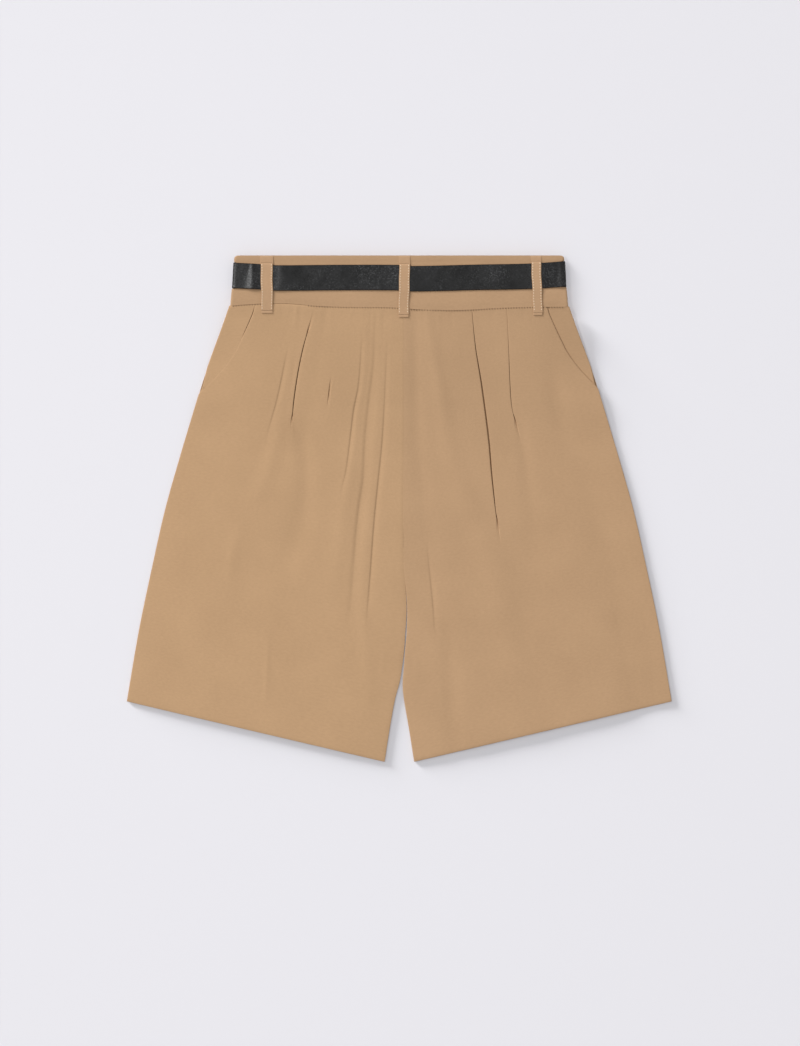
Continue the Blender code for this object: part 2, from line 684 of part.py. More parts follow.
def make_buckle(steel):
    """A plain frame: its thin side is the bar the strap turns round, its far side is lower."""
    y_low, y_high = STRAP_BACK_Y - FRAME_HIGH / 2, STRAP_BACK_Y + FRAME_HIGH / 2
    x_low, x_high = HINGE_X - HINGE_WIDE / 2, FAR_BAR_X + FAR_BAR_WIDE / 2
    outer = rounded_rectangle(x_low, x_high, y_low, y_high, FRAME_CORNER)
    inner = rounded_rectangle(
        HINGE_X + HINGE_WIDE / 2, FAR_BAR_X - FAR_BAR_WIDE / 2,
        y_low + FRAME_RAIL, y_high - FRAME_RAIL, FRAME_CORNER_INSIDE,
    )
    slope_long = x_high - x_low - 3 * FAR_BAR_WIDE

    def ring(mesh, points, sign):
        """The frame's outline on its upper or lower face, sloping from the hinge to the far bar."""
        found = []
        for x, y in points:
            share = ease((x - x_low - HINGE_WIDE) / slope_long)
            level = HINGE_LEVEL + (FAR_BAR_LEVEL - HINGE_LEVEL) * share
            half = (HINGE_THICK + (FAR_BAR_THICK - HINGE_THICK) * share) / 2
            found.append(mesh.verts.new((x * MM, y * MM, (level + sign * half) * MM)))
        return found

    mesh = bmesh.new()
    outer_top, outer_low = ring(mesh, outer, 1), ring(mesh, outer, -1)
    inner_top, inner_low = ring(mesh, inner, 1), ring(mesh, inner, -1)
    count = len(outer_top)
    for i in range(count):
        j = (i + 1) % count
        for a, b in ((outer_top, outer_low), (inner_low, inner_top), (inner_top, outer_top),
                     (outer_low, inner_low)):
            mesh.faces.new((a[i], a[j], b[j], b[i]))
    finish_mesh("buckle_frame", mesh, steel)


def make_prong(steel):
    """A flat prong curled round the hinge bar, its end resting under the far bar."""
    turn = HINGE_THICK / 2 + SEAM_GAP + PRONG_THICK / 2
    curl = arc((HINGE_X - HINGE_WIDE / 2, HINGE_LEVEL), turn, 90, 270, 6)
    far_low, far_high = FAR_BAR_X - FAR_BAR_WIDE / 2, FAR_BAR_X + FAR_BAR_WIDE / 2
    line = [(HINGE_X + 1.5, HINGE_LEVEL + turn), *curl, (HINGE_X + 3.0, HINGE_LEVEL - turn)]
    line += [(far_low - 4, PRONG_LEVEL + 0.15), (far_low, PRONG_LEVEL), (far_high + 0.8, PRONG_LEVEL)]
    path = [(x, z, PRONG_THICK) for x, z in line]
    half = PRONG_WIDE / 2
    edges = [(STRAP_BACK_Y - half, STRAP_BACK_Y + half)] * len(path)
    strip("buckle_prong", path, edges, steel)


def make_keeper(leather):
    """A narrow leather ring round both layers of the strap."""
    low, high = 0.0, STRAP_BACK + STRAP / 2 + SEAM_GAP + KEEPER_THICK
    half = STRAP_WIDE / 2 + SEAM_GAP
    mesh = bmesh.new()
    loops = []
    for x in (KEEPER_X - KEEPER_LONG / 2, KEEPER_X + KEEPER_LONG / 2):
        for grow in (0.0, KEEPER_THICK):
            y_low, y_high = STRAP_BACK_Y - half - grow, STRAP_BACK_Y + half + grow
            z_low = low + KEEPER_THICK - grow
            z_high = high - KEEPER_THICK + grow
            corners = ((y_low, z_low), (y_high, z_low), (y_high, z_high), (y_low, z_high))
            loops.append([mesh.verts.new((x * MM, y * MM, z * MM)) for y, z in corners])
    near_in, near_out, far_in, far_out = loops
    for i in range(4):
        j = (i + 1) % 4
        walls = ((near_in, near_out), (far_out, far_in), (near_out, far_out), (far_in, near_in))
        for a, b in walls:
            mesh.faces.new((a[i], a[j], b[j], b[i]))
    finish_mesh("belt_keeper", mesh, leather)


def loop_path(loop, panel_face):
    """Heights of a loop's middle down its length: band, over the belt, band, panel."""
    half = STRAP_WIDE / 2 + LOOP_ROOM
    if loop.front:
        middle = along(STRAP_LINE, loop.x_top, "y")
        on_band = BAND_TOP + SEAM_GAP + LOOP / 2
        over = STRAP_FRONT + STRAP / 2 + SEAM_GAP + LOOP / 2
        foot = panel_face + SEAM_GAP + LOOP / 2
    else:
        middle = STRAP_BACK_Y
        on_band = BAND_LEVEL - SEAM_GAP - LOOP / 2
        over = STRAP_BACK - STRAP / 2 - SEAM_GAP - LOOP / 2
        foot = panel_face - SEAM_GAP - LOOP / 2
    step = (on_band + over) / 2
    at_seam = (on_band + foot) / 2 if loop.front else foot
    return [
        (WAIST_Y - SEAM_GAP, on_band), (middle + half + LOOP_STEP, on_band),
        (middle + half + LOOP_STEP / 2, step), (middle + half, over), (middle, over),
        (middle - half, over), (middle - half - LOOP_STEP / 2, step),
        (middle - half - LOOP_STEP, on_band), (SEAM_Y + 1.5, on_band), (SEAM_Y - 2.5, at_seam),
        (SEAM_Y - loop.foot_drop, foot),
    ]


def make_loops(cloth):
    for loop in LOOPS:
        leg = Leg("right" if loop.x_foot > 0 else "left")
        drop = loop.foot_drop
        if loop.front:
            places = (abs(loop.x_foot) + off for off in (-5, 0, 5))
            face = max(leg.level(a, drop / 2) for a in places) + CLOTH / 2
        else:
            face = back_rise(drop)
        path = loop_path(loop, face)
        upper, lower = [], []
        last = len(path) - 1
        for i, (y, z) in enumerate(path):
            before, after = path[max(i - 1, 0)], path[min(i + 1, last)]
            length = math.hypot(after[0] - before[0], after[1] - before[1])
            ny, nz = (after[1] - before[1]) / length, -(after[0] - before[0]) / length
            share = (WAIST_Y - y) / (WAIST_Y - path[-1][0])
            x = loop.x_top + (loop.x_foot - loop.x_top) * share
            half, thick = loop.wide / 2, LOOP / 2
            upper.append([(x + s, y + ny * thick, z + nz * thick) for s in (-half, half)])
            lower.append([(x + s, y - ny * thick, z - nz * thick) for s in (-half, half)])
        solid_between(loop.name, np.array(upper), np.array(lower), cloth)


def build():
    clear_scene()
    cloth = finish("tan_twill", TAN)
    leather = finish("black_leather", BLACK_LEATHER)
    steel = finish("polished_steel", STEEL)
    make_legs(cloth)
    make_band("waistband_front", None, None, True, cloth)
    make_band("waistband_back_left", None, -SEAM_GAP / 2, False, cloth)
    make_band("waistband_back_right", SEAM_GAP / 2, None, False, cloth)
    make_loops(cloth)
    make_strap(leather)
    make_keeper(leather)
    make_buckle(steel)
    make_prong(steel)


build()
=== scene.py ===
import math

import bpy
import numpy as np
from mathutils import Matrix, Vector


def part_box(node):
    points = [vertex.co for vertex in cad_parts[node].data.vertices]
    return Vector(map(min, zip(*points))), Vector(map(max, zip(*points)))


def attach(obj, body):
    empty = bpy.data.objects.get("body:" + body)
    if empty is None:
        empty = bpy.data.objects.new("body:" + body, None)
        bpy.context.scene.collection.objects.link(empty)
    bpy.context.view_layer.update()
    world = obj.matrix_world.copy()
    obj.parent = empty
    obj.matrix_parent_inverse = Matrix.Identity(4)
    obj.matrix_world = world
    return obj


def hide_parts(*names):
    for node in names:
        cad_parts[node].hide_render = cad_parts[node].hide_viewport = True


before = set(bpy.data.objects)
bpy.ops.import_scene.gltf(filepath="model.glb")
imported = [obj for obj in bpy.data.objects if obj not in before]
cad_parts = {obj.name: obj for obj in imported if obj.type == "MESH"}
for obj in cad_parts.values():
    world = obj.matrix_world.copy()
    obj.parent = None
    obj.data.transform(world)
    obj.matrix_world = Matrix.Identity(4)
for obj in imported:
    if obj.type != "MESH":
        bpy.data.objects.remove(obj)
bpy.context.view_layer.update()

mm = 0.001

# Sizes below are in millimetres. "across" is the distance out from the middle line on either
# leg, and "drop" is the distance below the seam under the waistband.
garment = {
    "waistY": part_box("waistband_front")[1].y / mm,
    "bandDeep": 51.0,
    "hemOuter": (272.6, 394.0),  # across, drop
    "hemInner": (14.3, 454.6),
    "crotchDrop": 253.0, "opensBefore": 12.0, "opensOver": 55.0,
    "bandUnderside": 5.5,
    "bandTop": 9.8,
    "ramp": 62.0,  # drop over which the back comes down from the band to the floor
    "fullRamp": 150.0,
    "cloth": 0.5,  # one layer of the twill
    "seamWander": {"x": (-170, -150, -124, -104, -84, -55, -10, 20, 45, 65, 80, 95, 125, 170),
                   "drop": (-0.6, -2.2, -3.2, -2.7, -0.8, 0.4, 0.8, 2.8, 3.5, 3.4, 2.6, 1.7, 0.6, 0.2)},
}
seamY = garment["waistY"] - garment["bandDeep"]


def smooth(places, values, at):
    # a smooth line through pairs of place and value, read at one place or at many
    places, values = np.asarray(places, float), np.asarray(values, float)
    at = np.clip(at, places[0], places[-1])
    last = len(places) - 1
    low = np.clip(np.searchsorted(places, at, side="right") - 1, 0, last - 1)
    before = np.maximum(np.arange(last + 1) - 1, 0)
    after = np.minimum(np.arange(last + 1) + 1, last)
    slope = (values[after] - values[before]) / (places[after] - places[before])
    span = places[low + 1] - places[low]
    t = (at - places[low]) / span
    start = values[low] * (1 + 2 * t) * (1 - t) ** 2 + slope[low] * span * t * (1 - t) ** 2
    end = values[low + 1] * t * t * (3 - 2 * t) - slope[low + 1] * span * t * t * (1 - t)
    return start + end


def ease(t):
    t = np.clip(t, 0.0, 1.0)
    return t * t * (3 - 2 * t)


def roundEdge(distance, radius):
    # 0 at the edge and 1 from the radius inwards, as a quarter circle
    t = np.clip(distance / radius, 0.0, 1.0)
    return np.sqrt(1 - (1 - t) ** 2)


def softEdge(distance, reach):
    # 0 at the edge and 1 from the reach inwards, as a parabola
    t = np.clip(distance / reach, 0.0, 1.0)
    return t * (2 - t)


def seamDrop(x):
    return smooth(garment["seamWander"]["x"], garment["seamWander"]["drop"], x)


def backRise(drop):
    return garment["bandUnderside"] * (1 - ease(drop / garment["ramp"]))


def frontRise(drop):
    # the front's fullness comes down from the band over a longer way than the back
    return garment["bandUnderside"] * (1 - ease(drop / garment["fullRamp"]))


def legOpen(drop):
    # 0 where the middle seam joins the legs, 1 where each leg is a tube of its own
    return ease((drop - garment["crotchDrop"] + garment["opensBefore"]) / garment["opensOver"])


def selectOnly(piece):
    bpy.ops.object.select_all(action="DESELECT")
    piece.select_set(True)
    bpy.context.view_layer.objects.active = piece


def applyModifier(piece, kind, **values):
    selectOnly(piece)
    modifier = piece.modifiers.new(kind.title(), kind)
    for field, value in values.items():
        setattr(modifier, field, value)
    bpy.ops.object.modifier_apply(modifier=modifier.name)


def roundOff(piece, width, degrees):
    # a small round along every edge that is sharper than the angle
    applyModifier(piece, "BEVEL", width=width * mm, segments=3, limit_method="ANGLE",
                  angle_limit=math.radians(degrees))


def shadeSmooth(piece, degrees):
    selectOnly(piece)
    bpy.ops.object.shade_smooth_by_angle(angle=math.radians(degrees))


def editAll(piece, *steps):
    # mesh tools used on the whole of a piece
    selectOnly(piece)
    bpy.ops.object.mode_set(mode="EDIT")
    bpy.ops.mesh.select_all(action="SELECT")
    for step in steps:
        step()
    bpy.ops.object.mode_set(mode="OBJECT")


def lengthAlong(line):
    # how far along a line each of its points is
    return np.concatenate([[0], np.cumsum(np.linalg.norm(np.diff(line, axis=0), axis=1))])


def laySheet(name, points):
    # a grid with one point for each of rows x columns, laid where the points say, its grain in metres
    rows, columns = points.shape[:2]
    bpy.ops.object.select_all(action="DESELECT")
    bpy.ops.mesh.primitive_grid_add(x_subdivisions=columns - 1, y_subdivisions=rows - 1, size=1)
    piece = bpy.context.object
    piece.name = name
    piece.data.name = name
    piece.data.vertices.foreach_set("co", (points * mm).reshape(-1))
    acrossStep = np.linalg.norm(np.diff(points, axis=1), axis=2).mean(axis=0)
    downStep = np.linalg.norm(np.diff(points, axis=0), axis=2).mean(axis=1)
    u = np.broadcast_to(np.concatenate([[0], np.cumsum(acrossStep)]), (rows, columns))
    v = np.broadcast_to(np.concatenate([[0], np.cumsum(downStep)])[:, None], (rows, columns))
    grain = np.stack([u, v], axis=2).reshape(-1, 2) * mm
    corner = np.zeros(len(piece.data.loops), int)
    piece.data.loops.foreach_get("vertex_index", corner)
    piece.data.uv_layers[0].name = "grain"
    piece.data.uv_layers["grain"].data.foreach_set("uv", grain[corner].reshape(-1))
    piece.data.update()
    return piece


def thicken(piece, thickness, roundBy=0.0):
    applyModifier(piece, "SOLIDIFY", thickness=thickness * mm, offset=0.0, use_quality_normals=True)
    if roundBy:
        roundOff(piece, roundBy, 50)
    shadeSmooth(piece, 55)


def dress(piece, material, node):
    piece.data.materials.clear()
    piece.data.materials.append(material)
    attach(piece, "root")
    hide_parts(node)


def joinPieces(pieces, name):
    selectOnly(pieces[0])
    for piece in pieces[1:]:
        piece.select_set(True)
    bpy.ops.object.join()
    pieces[0].name = name
    pieces[0].data.name = name
    return pieces[0]


def closeFaces(name, upper, lower):
    # the two faces of a band or a strap, joined round their rims
    top, bottom = laySheet(name, upper), laySheet(name + "Inside", lower)
    editAll(bottom, bpy.ops.mesh.flip_normals)
    piece = joinPieces([top, bottom], name)
    selectOnly(piece)
    bpy.ops.object.mode_set(mode="EDIT")
    bpy.ops.mesh.select_all(action="DESELECT")
    bpy.ops.mesh.select_mode(type="EDGE")
    bpy.ops.mesh.select_non_manifold(extend=False, use_wire=False, use_boundary=True, use_multi_face=False,
                                     use_non_contiguous=False, use_verts=False)
    bpy.ops.mesh.bridge_edge_loops()
    bpy.ops.object.mode_set(mode="OBJECT")
    return piece


# Materials

def makeGroup(name, inputs, outputs):
    tree = bpy.data.node_groups.new(name, "ShaderNodeTree")
    for label, kind, value in inputs:
        socket = tree.interface.new_socket(label, in_out="INPUT", socket_type=kind)
        if value is not None:
            socket.default_value = value
    for label, kind in outputs:
        tree.interface.new_socket(label, in_out="OUTPUT", socket_type=kind)
    return tree, tree.nodes.new("NodeGroupInput").outputs, tree.nodes.new("NodeGroupOutput").inputs


def setInputs(tree, node, inputs):
    for socket, value in inputs.items():
        if isinstance(value, bpy.types.NodeSocket):
            tree.links.new(value, node.inputs[socket])
        else:
            node.inputs[socket].default_value = value


def addNode(tree, kind, inputs=None, **settings):
    made = tree.nodes.new(kind)
    for field, value in settings.items():
        setattr(made, field, value)
    setInputs(tree, made, inputs or {})
    return made


def addMath(tree, operation, *values):
    return addNode(tree, "ShaderNodeMath", dict(enumerate(values)), operation=operation).outputs[0]


def addNoise(tree, place, scale, detail=2.0, roughness=0.5):
    inputs = {"Vector": place, "Scale": scale, "Detail": detail, "Roughness": roughness}
    return addNode(tree, "ShaderNodeTexNoise", inputs).outputs["Fac"]


def addRange(tree, value, low=0.0, high=1.0, toLow=0.0, toHigh=1.0):
    inputs = {"Value": value, "From Min": low, "From Max": high, "To Min": toLow, "To Max": toHigh}
    return addNode(tree, "ShaderNodeMapRange", inputs).outputs[0]


def addScaling(tree, place, *scale):
    return addNode(tree, "ShaderNodeMapping", {"Vector": place, "Scale": scale}).outputs[0]


def addBump(tree, height, deep, strength=1.0):
    inputs = {"Height": height, "Distance": deep, "Strength": strength}
    return addNode(tree, "ShaderNodeBump", inputs).outputs[0]


def makeTwillGroup():
    # steep diagonal ribs over fine threads, uneven from thread to thread
    tree, given, out = makeGroup(
        "twillWeave",
        [("Place", "NodeSocketVector", None), ("Rib Pitch", "NodeSocketFloat", 0.55)],
        [("Height", "NodeSocketFloat"), ("Slub", "NodeSocketFloat")],
    )
    perMetre = addMath(tree, "DIVIDE", 1 / mm, given["Rib Pitch"])
    inputs = {0: given["Place"], "Scale": perMetre}
    ribs = addNode(tree, "ShaderNodeVectorMath", inputs, operation="SCALE").outputs[0]
    wave = addNode(
        tree, "ShaderNodeTexWave",
        {"Vector": addScaling(tree, ribs, 1.0, 0.5, 1.0), "Scale": 0.62, "Distortion": 0.6, "Detail": 1.0,
         "Detail Scale": 2.0},
        wave_type="BANDS", bands_direction="DIAGONAL",
    )
    threads = addNoise(tree, addScaling(tree, ribs, 0.12, 1.3, 1.0), 1.0)
    tree.links.new(addMath(tree, "MULTIPLY_ADD", wave.outputs["Fac"], 0.7, threads), out["Height"])
    tree.links.new(addNoise(tree, addScaling(tree, given["Place"], 300.0, 560.0, 1.0), 1.0, 3.0), out["Slub"])
    return tree


def makeMottleGroup():
    # wide, soft blotches: a random tone on the cloth, and a painted mottled sheen on the leather
    tree, given, out = makeGroup(
        "softMottle",
        [("Place", "NodeSocketVector", None), ("Size", "NodeSocketFloat", 30.0),
         ("Contrast", "NodeSocketFloat", 1.0)],
        [("Mask", "NodeSocketFloat")],
    )
    perMetre = addMath(tree, "DIVIDE", 1 / mm, given["Size"])
    centred = addMath(tree, "SUBTRACT", addNoise(tree, given["Place"], perMetre, 4.0), 0.5)
    scaled = addMath(tree, "MULTIPLY", centred, given["Contrast"])
    mask = addNode(tree, "ShaderNodeMath", {0: scaled, 1: 0.5}, operation="ADD", use_clamp=True)
    tree.links.new(mask.outputs[0], out["Mask"])
    return tree


twillGroup = makeTwillGroup()
mottleGroup = makeMottleGroup()

clothLook = {
    "light": (0.590, 0.373, 0.207), "dark": (0.425, 0.263, 0.142), "roughness": (0.82, 0.94), "shine": 0.25,
    "sheen": 0.12, "sheenRoughness": 0.5, "weaveDeep": 0.00009, "weaveStrength": 0.6,
    "mottle": {"Size": 45.0, "Contrast": 0.9},
}
threadLook = {"paler": 1.15, "roughness": 0.6, "twist": 2200.0, "twistDeep": 0.00005}
# the leather's lighter mottle and pale specks are painted sheen
leatherLook = {
    "black": (0.002, 0.002, 0.002), "grey": (0.0145, 0.0145, 0.015), "fleck": (0.095, 0.097, 0.099),
    "roughness": (0.22, 0.38), "shine": 0.42, "grainDeep": 0.00006, "grainStrength": 0.8, "pores": 1300.0,
    "mottle": {"Size": 22.0, "Contrast": 2.4},
}
edgeLook = {"dark": (0.004, 0.0025, 0.002), "light": (0.012, 0.007, 0.005), "roughness": 0.5, "shine": 0.25,
            "deep": 0.0001}
metalLook = {"colour": (0.62, 0.61, 0.58), "dull": 0.85, "roughness": (0.2, 0.38)}


def startMaterial(name):
    material = bpy.data.materials.new(name)
    material.use_nodes = True
    tree = material.node_tree
    place = addNode(tree, "ShaderNodeTexCoord").outputs["Object"]
    return material, tree, tree.nodes["Principled BSDF"], place


def mixColour(tree, share, first, second):
    mix = addNode(tree, "ShaderNodeMix", {0: share}, data_type="RGBA")
    for socket, value in ((mix.inputs[6], first), (mix.inputs[7], second)):
        if isinstance(value, bpy.types.NodeSocket):
            tree.links.new(value, socket)
        else:
            socket.default_value = (*value, 1.0)
    return mix.outputs[2]


def makeCloth(name, shade=1.0, blue=1.0):
    look = clothLook
    material, tree, shader, place = startMaterial(name)
    grain = addNode(tree, "ShaderNodeUVMap", uv_map="grain").outputs[0]
    weave = addNode(tree, "ShaderNodeGroup", {"Place": grain}, node_tree=twillGroup).outputs
    mottle = addNode(tree, "ShaderNodeGroup", {"Place": place, **look["mottle"]}, node_tree=mottleGroup)
    halved = addMath(tree, "MULTIPLY", mottle.outputs["Mask"], 0.5)
    both = addMath(tree, "MULTIPLY_ADD", weave["Slub"], 0.5, halved)
    tones = look["light"], look["dark"]
    light, dark = (tuple(c * shade * k for c, k in zip(tone, (1, 1, blue))) for tone in tones)
    setInputs(tree, shader, {
        "Base Color": mixColour(tree, both, light, dark),
        "Roughness": addRange(tree, weave["Slub"], 0.0, 1.0, *look["roughness"]),
        "Normal": addBump(tree, weave["Height"], look["weaveDeep"], look["weaveStrength"]),
        "Sheen Weight": look["sheen"],
        "Sheen Roughness": look["sheenRoughness"],
        "Specular IOR Level": look["shine"],
    })
    return material


def makeThread(name, colour):
    look = threadLook
    material, tree, shader, place = startMaterial(name)
    twist = addNoise(tree, place, look["twist"])
    paler = tuple(min(1.0, c * look["paler"]) for c in colour)
    setInputs(tree, shader, {
        "Base Color": mixColour(tree, twist, colour, paler),
        "Normal": addBump(tree, twist, look["twistDeep"]),
        "Roughness": look["roughness"],
    })
    return material


def makeLeather(name):
    look = leatherLook
    material, tree, shader, place = startMaterial(name)
    mottle = addNode(tree, "ShaderNodeGroup", {"Place": place, **look["mottle"]}, node_tree=mottleGroup)
    pores = addNode(tree, "ShaderNodeTexVoronoi", {"Vector": place, "Scale": look["pores"]}, feature="F1")
    wrinkles = addNoise(tree, place, 420.0, 5.0, 0.65)
    # painted sheen: pale specks, thickest in wide, soft areas
    sheenPatches = addRange(tree, addNoise(tree, place, 42.0), 0.36, 0.7)
    sheenFlecks = addRange(tree, addNoise(tree, place, 750.0, 4.0, 0.7), 0.52, 0.68)
    # black mottled with a lighter colour in wide blotches: painted sheen
    sheenMottle = mixColour(tree, mottle.outputs["Mask"], look["black"], look["grey"])
    height = addMath(tree, "MULTIPLY_ADD", pores.outputs["Distance"], 0.35, wrinkles)
    setInputs(tree, shader, {
        "Base Color": mixColour(tree, addMath(tree, "MULTIPLY", sheenFlecks, sheenPatches), sheenMottle, look["fleck"]),
        "Roughness": addRange(tree, wrinkles, 0.3, 0.7, *look["roughness"]),
        "Normal": addBump(tree, height, look["grainDeep"], look["grainStrength"]),
        "Specular IOR Level": look["shine"],
    })
    return material


def makeEdgePaint(name):
    look = edgeLook
    material, tree, shader, place = startMaterial(name)
    noise = addNoise(tree, place, 300.0, 3.0)
    setInputs(tree, shader, {
        "Base Color": mixColour(tree, noise, look["dark"], look["light"]),
        "Normal": addBump(tree, noise, look["deep"]),
        "Roughness": look["roughness"],
        "Specular IOR Level": look["shine"],
    })
    return material


def makeSteel(name):
    look = metalLook
    material, tree, shader, place = startMaterial(name)
    lines = addNoise(tree, addScaling(tree, place, 300.0, 6000.0, 6000.0), 1.0, 3.0)
    dull = tuple(c * look["dull"] for c in look["colour"])
    setInputs(tree, shader, {
        "Base Color": mixColour(tree, lines, look["colour"], dull),
        "Roughness": addRange(tree, lines, 0.0, 1.0, *look["roughness"]),
        "Metallic": 1.0,
    })
    return material


tanTwill = makeCloth("tanTwill", 0.985)
rightTwillPaintedShade = makeCloth("rightTwillPaintedShade", 0.945, 1.02)  # a shade deeper: painted shade for the light falling off across the right leg
# darker than the legs' cloth: painted shade for how the light falls on the band
bandTwillPaintedShade = makeCloth("bandTwillPaintedShade", 0.915, 1.03)
loopTwill = makeCloth("loopTwill", 0.955, 1.05)
# a brown thread, made darker as painted shade of the needle holes between the stitches
seamThreadPaintedShade = makeThread("seamThreadPaintedShade", (0.2, 0.115, 0.055))
paleThread = makeThread("paleThread", (0.78, 0.62, 0.45))
blackLeather = makeLeather("blackLeather")
edgePaint = makeEdgePaint("beltEdgePaint")
polishedSteel = makeSteel("polishedSteel")
print("materials made")


# Legs

sideLine = {
    "drop": (-2, 23, 63, 103, 153, 203, 263, 323, 394, 456),
    "across": (169, 178, 193, 205.5, 220.5, 234.5, 248, 260.5, 272.6, 283),
}
pocketLine = {
    "drop": (0, 7, 21, 34, 45.5, 62.7, 82, 95),
    "across": (147.6, 149.4, 155.5, 161.8, 167.7, 180.5, 199.5, 213),
    "ends": 86.0, "fadeBefore": 14.0, "fadeOver": 12.0,
}
legSettings = {
    "puff": 1.25, "puffWaist": 1.2, "puffGrows": 70.0,  # how far the front stands off in mid-leg
    "sinkMost": -0.25,  # a trough goes no deeper below an edge's level
    "relief": 1.3,  # of all folds and puckers
    "creaseShift": 0.7, "creaseGentle": 3.2, "puckerLean": 0.06,
    "level": 2.05,  # middle of the front's cloth over the back's underside, at a side edge
    "facingLift": 1.35,
    "facingEnd": 92.0, "facingFade": 40.0,
    "facingUnder": 1.45,  # the hip piece's cloth, below the front's
    "edgeRadius": 0.3,
    "pleatRadius": 0.26,
    "slitDeep": 1.15,  # how much further down a pleat's slit goes than its folded layers
    "openPleat": 1.3,
    "clothAtSlit": 0.4,  # what the cloth's own thickness takes from a slit's width
    "hemDeep": 26.0,
    "hemRadius": 0.27,
    "hemRoll": (36, 72, 108, 144, 180),
    "seamOverlap": 0.28,
    "rows": 128,
    "seamGap": -0.25,  # the fronts go a little way under the band
    "seamDip": 0.5, "seamDipWide": 0.6, "seamDipLeast": 0.06, "stitchesFrom": -88.0,
    "seamLift": 0.52, "seamLiftWide": 7.0,
    "sideSoft": 85.0, "innerSoft": 60.0,  # how far in from its edges a leg comes up to its full height
    "foldSideSoft": 20.0, "foldInnerSoft": 14.0,
    "curl": (0.5, 0.22, 0.05),  # of the back's edges, up to the front
    "backColumns": 110, "backRows": (16, 64),
    # half the gap between the legs where they touch, by drop
    "gap": {"drop": (0, 245, 298, 318, 327, 336, 350, 360, 365, 371, 377, 384, 456),
            "half": (0.02, 0.1, 0.42, 0.7, 0.95, 0.76, 0.76, 0.95, 1.0, 0.76, 0.68, 0.7, 0.7)},
    "kneeRoll": {"drop": (0, 250, 370, 395, 456), "radius": (0.05, 0.08, 0.2, 0.3, 0.3)},
}


def makeFold(drop, across, height, wide, crease=False):
    # how far across a fold runs at each drop, its height there (below zero it is a trough) and how
    # wide it is; a crease is narrow and has a soft lip on both sides
    return {"drop": drop, "across": across, "height": height, "wide": wide, "crease": crease}


def makePleat(drop, across, lap, slit, turn):
    # how far across a pleat's edge runs at each drop, how much cloth is lapped there, how wide the
    # slit beside it is, and by how many degrees the cloth is turned under
    return {"drop": drop, "across": across, "lap": lap, "slit": slit, "turn": turn}


